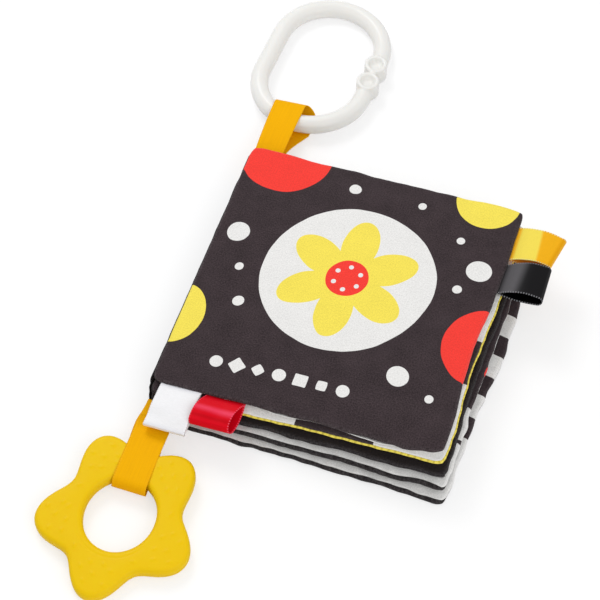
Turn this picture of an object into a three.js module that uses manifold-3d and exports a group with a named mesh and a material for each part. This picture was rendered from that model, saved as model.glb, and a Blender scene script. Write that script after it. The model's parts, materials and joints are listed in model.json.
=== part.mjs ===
// Crinkle cloth book: five padded leaves and a spine, four ribbon tags sewn to the
// front cover, and a link ring and a teether held in two ribbon loops.
// Millimetres, +Z up, +Y to the top of the page, +X from the spine to the fore edge.
import * as THREE from 'three';
import * as BufferGeometryUtils from 'three/addons/utils/BufferGeometryUtils.js';
import Module from 'manifold-3d';

const wasm = await Module();
wasm.setup();

// Leaves, counted from the front cover down to the back cover
const leafNames = ['front_cover', 'page_1', 'page_2', 'page_3', 'back_cover'];
const coverLength = 150; // spine to fore edge
const leafHeight = 151; // top edge to bottom edge
const leafGrowth = 0.9; // how much further each lower leaf reaches
const leafStepX = 0.8; // how far each lower leaf is set in at the spine
const leafStepY = 2.6; // how far each lower leaf is set down the page
const leafFan = THREE.MathUtils.degToRad(0.3); // how far each lower leaf is turned
const spinePitch = 3.8; // from leaf to leaf at the spine
const foreEdgePitch = 6.8; // from leaf to leaf at the fore edge
const leafClearance = 0.4; // between two leaves that lie on each other
const clothThickness = 0.7;
const seamHalf = 1.2; // half the thickness of a leaf at its sewn edge
const seamGap = 0.3; // between the two panels in the seam
const seamWidth = 2.25;
const paddingMargin = 6; // from the sewn edge to the wadding
const pillowRise = 13; // from the sewn edge to full thickness
const coverCrown = 1.1; // extra crown on the front of the book
const restCut = 0.5; // how deep the underside is flattened where the book lies
const cornerReach = 7.5; // how far a corner's rounding runs along each edge
const cornerRoundShare = 0.75;
const foreEdgeDrawIn = 2; // on the front cover, down to nothing on the back cover
const endEdgeDrawIn = 1;
const leafTaper = 2.2; // how far a leaf's end edges stand out at the spine and fall short at the fore edge
const quarterShare = 0.31; // place of the one grid line between the rise and the middle

// Filling of each leaf
const filmThickness = 0.2;
const fillingClearance = 0.25; // between the layers inside a leaf

// Spine
const spineClearance = 0.3;
const spineBulge = 1.6;
const spineRows = 6;

// Link ring
const barRadius = 5.2;
const ringHalfWidth = 29.3; // to the middle of the bar
const ringStraight = 27.9;
const ringLean = THREE.MathUtils.degToRad(-2.5);
const cupRadius = 6.3;
const cupGap = 0.5;
const cupHeight = 11.2;
const cupSocketRadius = 4;
const cupSocketDepth = 6.5;
const cupRounding = 1.6;
const cupOffset = 1.2; // how far the gap between the cups lies above the middle of the ring

// Teether
const teetherThickness = 7.5;
const teetherRounding = 3.4;
const teetherMeanRadius = 35;
const teetherLobeHeight = 5.4;
const teetherHoleRadius = 17.5;
const teetherStretchShare = 1.1; // length over width of the flower
const lobeCount = 5;

// Ribbon loops for the ring and the teether
const ribbonThickness = 0.6;
const strandSlit = 0.1; // half the gap between a ribbon's two strands where it is sewn in
const ribbonRootHeight = 8;
const sewnClearance = 0.3; // between a sewn-in end and the edge that holds it
const topRibbonWidth = 17;
const topRibbonCentre = 8.6; // from the spine
const topRibbonReach = 31.4; // from the top edge to the nearest part of the bar
const ringAside = 4.9; // how far the ring hangs to the side of its ribbon's middle
const barClearance = 1.6; // between the ring's bar and its ribbon
const bottomRibbonWidth = 18.6;
const bottomRibbonCentre = 9.3;
const bottomRibbonReach = 49; // from the bottom edge to the teether's hole
const teetherAside = 0.7; // how far the teether lies to the side of its ribbon's middle
const rimClearance = 1.25; // between the teether's rim and the ribbon's bight
const rimSwing = 2.05; // the same at the rim's outside, where the ribbon stands open
const rimLift = 0.1; // how far the rim lies below the middle of the open loop
const rimPivotShare = 0.3; // where the teether tilts, from the hole's edge to the rim's outside
const ringRibbonLeaf = 2; // leaf whose top edge the ring's ribbon meets
const teetherRibbonLeaf = 3; // leaf whose bottom edge the teether's ribbon meets

// Tags: side of the cover, place along that side from the spine or the top edge
const tagThickness = 0.5;
const tagWidth = 21.5;
const tags = [
  { name: 'tag_white', side: 'bottom', along: 15.8, length: 23.6, loop: 2.4, skew: -0.9, droop: 10 },
  { name: 'tag_red', side: 'bottom', along: 39.4, length: 17, loop: 6, skew: -2, droop: 5 },
  { name: 'tag_yellow', side: 'fore', along: 20.4, length: 24, loop: 5.4, skew: 1.4, droop: 3 },
  { name: 'tag_black', side: 'fore', along: 45.8, length: 23.2, loop: 5.8, skew: 0.4, droop: 3 },
];

const circleSteps = 24;

// Finish of each kind of piece
function finish(color, roughness, metalness = 0) {
  return new THREE.MeshStandardMaterial({ color, roughness, metalness });
}
const colors = {
  black: 0x33292d,
  white: 0xededeb,
  yellow: 0xf5d84e,
  orange: 0xf2b100,
  wadding: 0xf8f8f4,
  film: 0xdfe6ea,
  silicone: 0xeec60e,
  plastic: 0xf0f0ec,
  tag_white: 0xf5f5fa,
  tag_red: 0xd80c24,
  tag_yellow: 0xffc71e,
  tag_black: 0x1e1e20,
};
const panelColors = [
  ['black', 'white'],
  ['white', 'yellow'],
  ['black', 'black'],
  ['white', 'black'],
  ['white', 'black'],
];

const part = new THREE.Group();
const book = new THREE.Group();
part.add(book);

// One closed body between two grids of points that share their rows and columns
function bodyBetween(columns, rows, upper, lower) {
  const positions = [];
  const index = [];
  for (const level of [upper, lower]) {
    for (const row of rows) {
      for (const column of columns) {
        positions.push(...level(column, row).toArray());
      }
    }
  }
  const nx = columns.length;
  const ny = rows.length;
  const at = (level, i, j) => level * nx * ny + j * nx + i;
  const quad = (a, b, c, d) => index.push(a, b, c, a, c, d);
  for (let j = 0; j < ny - 1; j++) {
    for (let i = 0; i < nx - 1; i++) {
      quad(at(0, i, j), at(0, i + 1, j), at(0, i + 1, j + 1), at(0, i, j + 1));
      quad(at(1, i, j), at(1, i, j + 1), at(1, i + 1, j + 1), at(1, i + 1, j));
    }
  }
  for (let i = 0; i < nx - 1; i++) {
    quad(at(1, i, 0), at(1, i + 1, 0), at(0, i + 1, 0), at(0, i, 0));
    quad(at(1, i + 1, ny - 1), at(1, i, ny - 1), at(0, i, ny - 1), at(0, i + 1, ny - 1));
  }
  for (let j = 0; j < ny - 1; j++) {
    quad(at(1, 0, j + 1), at(1, 0, j), at(0, 0, j), at(0, 0, j + 1));
    quad(at(1, nx - 1, j), at(1, nx - 1, j + 1), at(0, nx - 1, j + 1), at(0, nx - 1, j));
  }
  const geometry = new THREE.BufferGeometry();
  geometry.setAttribute('position', new THREE.Float32BufferAttribute(positions, 3));
  geometry.setIndex(index);
  return geometry;
}

function addMesh(parent, name, geometry, material) {
  const mesh = new THREE.Mesh(geometry, material);
  mesh.name = name;
  parent.add(mesh);
  return mesh;
}

// Where each leaf lies: n is 0 for the front cover
const restHalf = (spinePitch - leafClearance) / 2;
const pitchGrowth = foreEdgePitch - spinePitch;
function leafAt(n) {
  const levelsUp = leafNames.length - 1 - n;
  return {
    name: leafNames[n],
    isFront: n === 0,
    isBack: levelsUp === 0,
    length: coverLength + leafGrowth * n,
    x: leafStepX * n,
    y: -leafStepY * n,
    z: restHalf + spinePitch * levelsUp,
    tilt: Math.atan(pitchGrowth / coverLength) * levelsUp,
    fan: -leafFan * n,
    drawIn: foreEdgeDrawIn * levelsUp / (leafNames.length - 1),
  };
}

function leafGroup(leaf) {
  const group = new THREE.Group();
  group.position.set(leaf.x, leaf.y, leaf.z);
  group.rotation.set(0, -leaf.tilt, leaf.fan, 'ZYX');
  book.add(group);
  return group;
}

// Grid lines across a leaf: seam, margin, rise and middle, then the same again
function gridLines(span) {
  const half = [0, seamWidth, paddingMargin, pillowRise, span * quarterShare];
  return [...half, span / 2, ...half.map((line) => span - line).reverse()];
}

function fillingLines(span) {
  return gridLines(span).slice(2, -2);
}

// The sewn outline: round corners, and edges drawn in between them
function leafOutline(leaf, along, up) {
  const toEndX = Math.min(along, leaf.length - along);
  const toEndY = Math.min(up, leafHeight - up);
  let x = along;
  let y = up;
  if (toEndX < cornerReach && toEndY < cornerReach) {
    const shareX = 1 - toEndX / cornerReach;
    const shareY = 1 - toEndY / cornerReach;
    const inX = cornerReach * (1 - shareX * Math.sqrt(1 - cornerRoundShare * shareY ** 2 / 2));
    const inY = cornerReach * (1 - shareY * Math.sqrt(1 - cornerRoundShare * shareX ** 2 / 2));
    x = along < leaf.length / 2 ? inX : leaf.length - inX;
    y = up < leafHeight / 2 ? inY : leafHeight - inY;
  }
  const fromMiddleX = 2 * x / leaf.length - 1;
  const fromMiddleY = 2 * y / leafHeight - 1;
  const drawIn = endEdgeDrawIn * (1 - fromMiddleX ** 2) + leafTaper * fromMiddleX;
  return {
    x: x - leaf.drawIn * (x / leaf.length) * (1 - fromMiddleY ** 2),
    y: y - leafHeight / 2 - drawIn * fromMiddleY,
  };
}

function rise(distance) {
  return Math.sin(Math.min(1, distance / pillowRise) * Math.PI / 2);
}

function pillow(leaf, along, up) {
  return rise(Math.min(along, leaf.length - along)) * rise(Math.min(up, leafHeight - up));
}

// Height of a leaf's upper face, and depth of its lower one, from its seam
function upperHeight(leaf, along, up) {
  const middle = Math.sin(Math.PI * along / leaf.length) * Math.sin(Math.PI * up / leafHeight);
  const crown = leaf.isFront ? coverCrown * middle : 0;
  const full = restHalf + pitchGrowth / 2 * along / leaf.length + crown;
  return seamHalf + (full - seamHalf) * pillow(leaf, along, up);
}

function lowerDepth(leaf, along, up) {
  const full = restHalf + (leaf.isBack ? restCut : pitchGrowth / 2 * along / leaf.length);
  const depth = seamHalf + (full - seamHalf) * pillow(leaf, along, up);
  return leaf.isBack ? Math.min(depth, restHalf) : depth;
}

// Inner face of a panel: flat in the seam, a cloth's thickness below the outer face inside it
function liningHeight(leaf, along, up, height) {
  const toEdge = Math.min(along, leaf.length - along, up, leafHeight - up);
  return toEdge < paddingMargin ? seamGap / 2 : height - clothThickness;
}

function leafPoint(leaf, z) {
  return (along, up) => {
    const place = leafOutline(leaf, along, up);
    return new THREE.Vector3(place.x, place.y, z(along, up));
  };
}

// Panels, wadding and crinkle film of one leaf
function addLeaf(n) {
  const leaf = leafAt(n);
  const group = leafGroup(leaf);
  const upperName = leaf.isFront ? 'outer' : leaf.isBack ? 'lining' : 'upper';
  const lowerName = leaf.isFront ? 'lining' : leaf.isBack ? 'outer' : 'lower';
  const columns = gridLines(leaf.length);
  const rows = gridLines(leafHeight);
  const top = (along, up) => upperHeight(leaf, along, up);
  const topInside = (along, up) => liningHeight(leaf, along, up, top(along, up));
  const bottom = (along, up) => -lowerDepth(leaf, along, up);
  const bottomInside = (along, up) => -liningHeight(leaf, along, up, -bottom(along, up));
  const upperPanel = bodyBetween(columns, rows, leafPoint(leaf, top), leafPoint(leaf, topInside));
  const lowerPanel = bodyBetween(columns, rows, leafPoint(leaf, bottomInside), leafPoint(leaf, bottom));
  addMesh(group, `${leaf.name}_${upperName}_panel`, upperPanel, finish(colors[panelColors[n][0]], 0.9));
  addMesh(group, `${leaf.name}_${lowerName}_panel`, lowerPanel, finish(colors[panelColors[n][1]], 0.9));

  const innerColumns = fillingLines(leaf.length);
  const innerRows = fillingLines(leafHeight);
  const filmTop = (along, up) => topInside(along, up) - fillingClearance;
  const filmBottom = (along, up) => filmTop(along, up) - filmThickness;
  const paddingTop = (along, up) => filmBottom(along, up) - fillingClearance;
  const paddingBottom = (along, up) => bottomInside(along, up) + fillingClearance;
  const film = bodyBetween(innerColumns, innerRows, leafPoint(leaf, filmTop), leafPoint(leaf, filmBottom));
  const padding = bodyBetween(
    innerColumns,
    innerRows,
    leafPoint(leaf, paddingTop),
    leafPoint(leaf, paddingBottom),
  );
  addMesh(group, `${leaf.name}_crinkle_film`, film, finish(colors.film, 0.25));
  addMesh(group, `${leaf.name}_wadding`, padding, finish(colors.wadding, 1));
}

leafNames.forEach((name, n) => addLeaf(n));

// Spine: one strip of cloth from the back cover's edge round to the front cover's
function addSpine() {
  const front = leafAt(0);
  const back = leafAt(leafNames.length - 1);
  const low = back.z - seamHalf + sewnClearance;
  const high = front.z + seamHalf - sewnClearance;
  const levels = Array.from({ length: spineRows + 1 }, (_, i) => i / spineRows);
  const ends = [-1, 0, 1];
  const face = (outward) => (end, share) => {
    const level = (leafNames.length - 1) * (1 - share);
    const bulge = spineBulge * Math.sin(Math.PI * share);
    const fanned = leafFan * level * end * leafHeight / 2;
    const x = leafStepX * level + fanned - spineClearance - bulge - outward;
    const y = end * (leafHeight / 2 + leafTaper - cornerReach) - leafStepY * level;
    return new THREE.Vector3(x, y, low + (high - low) * share);
  };
  const spine = bodyBetween(ends, levels, face(0), face(clothThickness));
  addMesh(book, 'spine_panel', spine, finish(colors.black, 0.9));
}
addSpine();

// Outline round a row of circles, each [place along, height, radius]
function hullOutline(circles) {
  const points = circles.flatMap(([along, up, radius]) => Array.from({ length: circleSteps }, (_, i) => {
    const angle = 2 * Math.PI * i / circleSteps;
    return new THREE.Vector2(along + radius * Math.cos(angle), up + radius * Math.sin(angle));
  }));
  points.sort((a, b) => a.x - b.x || a.y - b.y);
  const chain = (ordered) => {
    const kept = [];
    for (const point of ordered) {
      while (kept.length > 1) {
        const [a, b] = kept.slice(-2);
        if ((b.x - a.x) * (point.y - a.y) - (b.y - a.y) * (point.x - a.x) > 0) break;
        kept.pop();
      }
      kept.push(point);
    }
    return kept.slice(0, -1);
  };
  return [...chain(points), ...chain(points.slice().reverse())];
}

// A ribbon sewn in by both ends: its loop, from the sewn end outward along +X, then its width along Z
function ribbonLoop(circles, thickness, width) {
  const grown = circles.map(([along, up, radius]) => [along, up, radius + thickness]);
  const shape = new THREE.Shape(hullOutline(grown));
  shape.holes.push(new THREE.Path(hullOutline(circles)));
  const geometry = new THREE.ExtrudeGeometry(shape, { depth: width, bevelEnabled: false });
  geometry.translate(0, 0, -width / 2);
  return geometry;
}

// Link ring: an open racetrack of round bar
class RingLine extends THREE.Curve {
  constructor(startUp, endUp) {
    super();
    this.arc = Math.PI * ringHalfWidth;
    this.first = ringStraight / 2 + startUp;
    this.last = ringStraight / 2 - endUp;
    this.total = this.first + this.arc + ringStraight + this.arc + this.last;
  }

  getPoint(share, target = new THREE.Vector3()) {
    let run = share * this.total;
    const corner = ringStraight / 2;
    if (run < this.first) return target.set(ringHalfWidth, -corner + this.first - run, 0);
    run -= this.first;
    if (run < this.arc) {
      const angle = -run / ringHalfWidth;
      return target.set(ringHalfWidth * Math.cos(angle), -corner + ringHalfWidth * Math.sin(angle), 0);
    }
    run -= this.arc;
    if (run < ringStraight) return target.set(-ringHalfWidth, -corner + run, 0);
    run -= ringStraight;
    if (run < this.arc) {
      const angle = Math.PI - run / ringHalfWidth;
      return target.set(ringHalfWidth * Math.cos(angle), corner + ringHalfWidth * Math.sin(angle), 0);
    }
    return target.set(ringHalfWidth, corner - (run - this.arc), 0);
  }
}

function solidOf(geometry) {
  const bare = geometry.clone();
  bare.deleteAttribute('normal');
  bare.deleteAttribute('uv');
  const merged = BufferGeometryUtils.mergeVertices(bare);
  return new wasm.Manifold(new wasm.Mesh({
    numProp: 3,
    vertProperties: merged.attributes.position.array,
    triVerts: new Uint32Array(merged.index.array),
  }));
}

function geometryOf(solid) {
  const mesh = solid.getMesh();
  const geometry = new THREE.BufferGeometry();
  geometry.setAttribute('position', new THREE.BufferAttribute(mesh.vertProperties, 3));
  geometry.setIndex(new THREE.BufferAttribute(mesh.triVerts, 1));
  return geometry;
}

// One cup at an end of the ring: a short round post with a socket in its top
function cupGeometry() {
  const floor = -barRadius;
  const top = floor + cupHeight;
  const lip = cupRounding / 2;
  const points = [
    [0, floor],
    [cupRadius - cupRounding, floor],
    [cupRadius, floor + cupRounding],
    [cupRadius, top - lip],
    [cupRadius - lip, top],
    [cupSocketRadius, top],
    [cupSocketRadius, top - cupSocketDepth + lip],
    [cupSocketRadius - lip, top - cupSocketDepth],
    [0, top - cupSocketDepth],
  ].map(([radius, height]) => new THREE.Vector2(radius, height));
  return new THREE.LatheGeometry(points, circleSteps).rotateX(Math.PI / 2);
}

const barSides = 12;
const barSteps = 52;
function ringGeometry() {
  const cupReach = cupRadius + cupGap / 2;
  const line = new RingLine(cupOffset - cupReach, cupOffset + cupReach);
  const section = new THREE.Shape(Array.from({ length: barSides }, (_, i) => {
    const angle = 2 * Math.PI * i / barSides;
    return new THREE.Vector2(barRadius * Math.cos(angle), barRadius * Math.sin(angle));
  }));
  const bar = new THREE.ExtrudeGeometry(section, { steps: barSteps, extrudePath: line, bevelEnabled: false });
  let ring = solidOf(bar);
  const socket = new THREE.CylinderGeometry(cupSocketRadius, cupSocketRadius, cupHeight, circleSteps)
    .rotateX(Math.PI / 2)
    .translate(0, 0, cupHeight * 1.5 - barRadius - cupSocketDepth);
  for (const side of [-1, 1]) {
    const place = [ringHalfWidth, cupOffset + side * cupReach, 0];
    const cup = cupGeometry().translate(...place);
    ring = ring.add(solidOf(cup)).subtract(solidOf(socket.clone().translate(...place)));
  }
  return geometryOf(ring);
}

// How far a leaf's top (+1) or bottom (-1) edge reaches, from the cover's middle, behind a ribbon
function endReach(n, end, centre, width) {
  const leaf = leafAt(n);
  const reaches = [-width / 2, 0, width / 2].map((aside) => {
    const edge = leafOutline(leaf, centre + aside, end > 0 ? leafHeight : 0);
    return end * (leaf.y + edge.y * Math.cos(leaf.fan) + edge.x * Math.sin(leaf.fan));
  });
  return Math.max(...reaches);
}

// Ring's ribbon and ring, beyond the top edge
const strandHalf = strandSlit + ribbonThickness;
const barInside = barRadius + barClearance;
function addRing() {
  const root = endReach(ringRibbonLeaf, 1, topRibbonCentre, topRibbonWidth) + sewnClearance + strandHalf;
  const barPlace = leafHeight / 2 + topRibbonReach;
  const barHeight = ribbonThickness + barInside;
  const farSide = ringAside + topRibbonWidth / 2;
  const innerRadius = ringHalfWidth - barRadius;
  const barCurve = innerRadius - Math.sqrt(innerRadius ** 2 - farSide ** 2);
  const circles = [
    [0, ribbonRootHeight, strandSlit],
    [barPlace + barCurve + sewnClearance - barClearance - root, barHeight, barInside],
  ];
  const ribbon = ribbonLoop(circles, ribbonThickness, topRibbonWidth);
  ribbon.applyMatrix4(new THREE.Matrix4().makeBasis(
    new THREE.Vector3(0, 1, 0),
    new THREE.Vector3(0, 0, 1),
    new THREE.Vector3(1, 0, 0),
  ));
  addMesh(book, 'ring_ribbon', ribbon, finish(colors.orange, 0.6)).position.set(topRibbonCentre, root, 0);

  const upRing = new THREE.Vector2(0, ringStraight / 2).rotateAround(new THREE.Vector2(), ringLean);
  const farEnd = 2 * (ringHalfWidth + upRing.y);
  const holder = new THREE.Group();
  holder.position.set(topRibbonCentre + ringAside, barPlace, barHeight);
  holder.rotation.x = -Math.asin((barHeight - barRadius) / farEnd);
  book.add(holder);
  const ring = addMesh(holder, 'link_ring', ringGeometry(), finish(colors.plastic, 0.35));
  ring.rotation.z = ringLean;
  ring.position.set(upRing.x, farEnd / 2, 0);
}
addRing();

// Teether: a ring of rounded section whose outside swells into lobes
const teetherSteps = 60;
const roundSteps = 3;
const lobeTurn = Math.PI / 2; // a lobe points straight away from the book
function teetherOutside(angle) {
  return teetherMeanRadius + teetherLobeHeight * Math.cos(lobeCount * (angle + lobeTurn));
}

function teetherGeometry() {
  const half = teetherThickness / 2;
  const corners = [
    [1, 1],
    [-1, 1],
    [-1, -1],
    [1, -1],
  ];
  const shares = Array.from({ length: roundSteps + 1 }, (_, i) => i / roundSteps);
  const sectionPoints = corners.flatMap(([radial, up], quarter) => shares.map((share) => {
    const turn = Math.PI / 2 * (quarter + share);
    return { radial, up, cos: Math.cos(turn), sin: Math.sin(turn) };
  }));
  const positions = [];
  const index = [];
  for (let i = 0; i < teetherSteps; i++) {
    const angle = 2 * Math.PI * i / teetherSteps;
    const inner = teetherHoleRadius + teetherRounding;
    const outer = teetherOutside(angle) - teetherRounding;
    for (const { radial, up, cos, sin } of sectionPoints) {
      const radius = (radial > 0 ? outer : inner) + teetherRounding * cos;
      const z = up * (half - teetherRounding) + teetherRounding * sin;
      positions.push(radius * Math.cos(angle), radius * Math.sin(angle) * teetherStretchShare, z);
    }
  }
  const count = sectionPoints.length;
  for (let i = 0; i < teetherSteps; i++) {
    const next = (i + 1) % teetherSteps;
    for (let j = 0; j < count; j++) {
      const a = i * count + j;
      const b = next * count + j;
      const c = next * count + (j + 1) % count;
      const d = i * count + (j + 1) % count;
      index.push(a, b, c, a, c, d);
    }
  }
  const geometry = new THREE.BufferGeometry();
  geometry.setAttribute('position', new THREE.Float32BufferAttribute(positions, 3));
  geometry.setIndex(index);
  return geometry;
}

// Teether's ribbon and teether, beyond the bottom edge; reaches run from the teether's middle
function addTeether() {
  const farSide = teetherAside + bottomRibbonWidth / 2;
  const holeSide = teetherStretchShare * Math.sqrt(teetherHoleRadius ** 2 - farSide ** 2);
  const sideAngle = lobeTurn + Math.asin(farSide / teetherMeanRadius);
  const rimSide = teetherStretchShare * teetherOutside(sideAngle) * Math.sin(sideAngle);
  const bightInside = teetherThickness / 2 + rimClearance;
  const openInside = teetherThickness / 2 + rimSwing;
  const loopHeight = ribbonThickness + openInside;
  const edge = endReach(teetherRibbonLeaf, -1, bottomRibbonCentre, bottomRibbonWidth);
  const root = edge + sewnClearance + strandHalf;
  const middle = leafHeight / 2 + bottomRibbonReach + teetherHoleRadius * teetherStretchShare;
  const circles = [
    [0, ribbonRootHeight, strandSlit],
    [middle - (rimSide - teetherRounding) - root, loopHeight, openInside],
    [middle - (holeSide - sewnClearance + bightInside) - root, loopHeight - rimLift, bightInside],
  ];
  const ribbon = ribbonLoop(circles, ribbonThickness, bottomRibbonWidth);
  ribbon.applyMatrix4(new THREE.Matrix4().makeBasis(
    new THREE.Vector3(0, -1, 0),
    new THREE.Vector3(0, 0, 1),
    new THREE.Vector3(-1, 0, 0),
  ));
  const ribbonMesh = addMesh(book, 'teether_ribbon', ribbon, finish(colors.orange, 0.6));
  ribbonMesh.position.set(bottomRibbonCentre, -root, 0);

  const pivot = THREE.MathUtils.lerp(holeSide, rimSide, rimPivotShare);
  const pivotHeight = loopHeight - rimLift;
  const foot = teetherStretchShare * (teetherMeanRadius + teetherLobeHeight) - teetherRounding;
  const holder = new THREE.Group();
  holder.position.set(bottomRibbonCentre + teetherAside, pivot - middle, pivotHeight);
  holder.rotation.x = Math.asin((pivotHeight - teetherThickness / 2) / (pivot + foot));
  book.add(holder);
  const teether = addMesh(holder, 'teether', teetherGeometry(), finish(colors.silicone, 0.55));
  teether.position.y = -pivot;
}
addTeether();

// Tags: small ribbon loops sewn into the front cover's bottom and fore edges
function addTag({ name, side, along, length, loop, skew, droop }) {
  const cover = leafAt(0);
  const onFore = side === 'fore';
  const seamAt = (run) => onFore
    ? leafOutline(cover, cover.length, leafHeight - run)
    : leafOutline(cover, run, 0);
  const [start, end] = [along - tagWidth / 2, along + tagWidth / 2].map(seamAt);
  const lean = onFore
    ? Math.atan2(end.x - start.x, start.y - end.y)
    : Math.atan2(end.y - start.y, end.x - start.x);
  const rootHalf = strandSlit + tagThickness;
  const loopInside = loop / 2;
  const circles = [
    [0, 0, strandSlit],
    [length - rootHalf - loopInside - tagThickness, 0, loopInside],
  ];
  const geometry = ribbonLoop(circles, tagThickness, tagWidth);
  const position = geometry.attributes.position;
  for (let i = 0; i < position.count; i++) {
    position.setZ(i, position.getZ(i) - skew * position.getX(i) / length);
  }
  const outward = onFore ? new THREE.Vector3(1, 0, 0) : new THREE.Vector3(0, -1, 0);
  const up = new THREE.Vector3(0, 0, 1);
  geometry.applyMatrix4(new THREE.Matrix4().makeBasis(outward, up, outward.clone().cross(up)));

  const holder = new THREE.Group();
  holder.position.set((start.x + end.x) / 2, (start.y + end.y) / 2, 0);
  holder.rotation.z = lean;
  leafGroup(cover).add(holder);
  const tag = addMesh(holder, name, geometry, finish(colors[name], 0.4));
  tag.position.addScaledVector(outward, sewnClearance + rootHalf);
  const sag = THREE.MathUtils.degToRad(droop);
  tag.rotation.set(onFore ? 0 : sag, onFore ? sag : 0, 0);
}
tags.forEach(addTag);

// The frame's origin is the middle of the back cover's underside
const backCover = leafAt(leafNames.length - 1);
book.position.set(
  -backCover.x - backCover.length / 2 * Math.cos(backCover.fan),
  -backCover.y - backCover.length / 2 * Math.sin(backCover.fan),
  0,
);

export default part;
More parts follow.
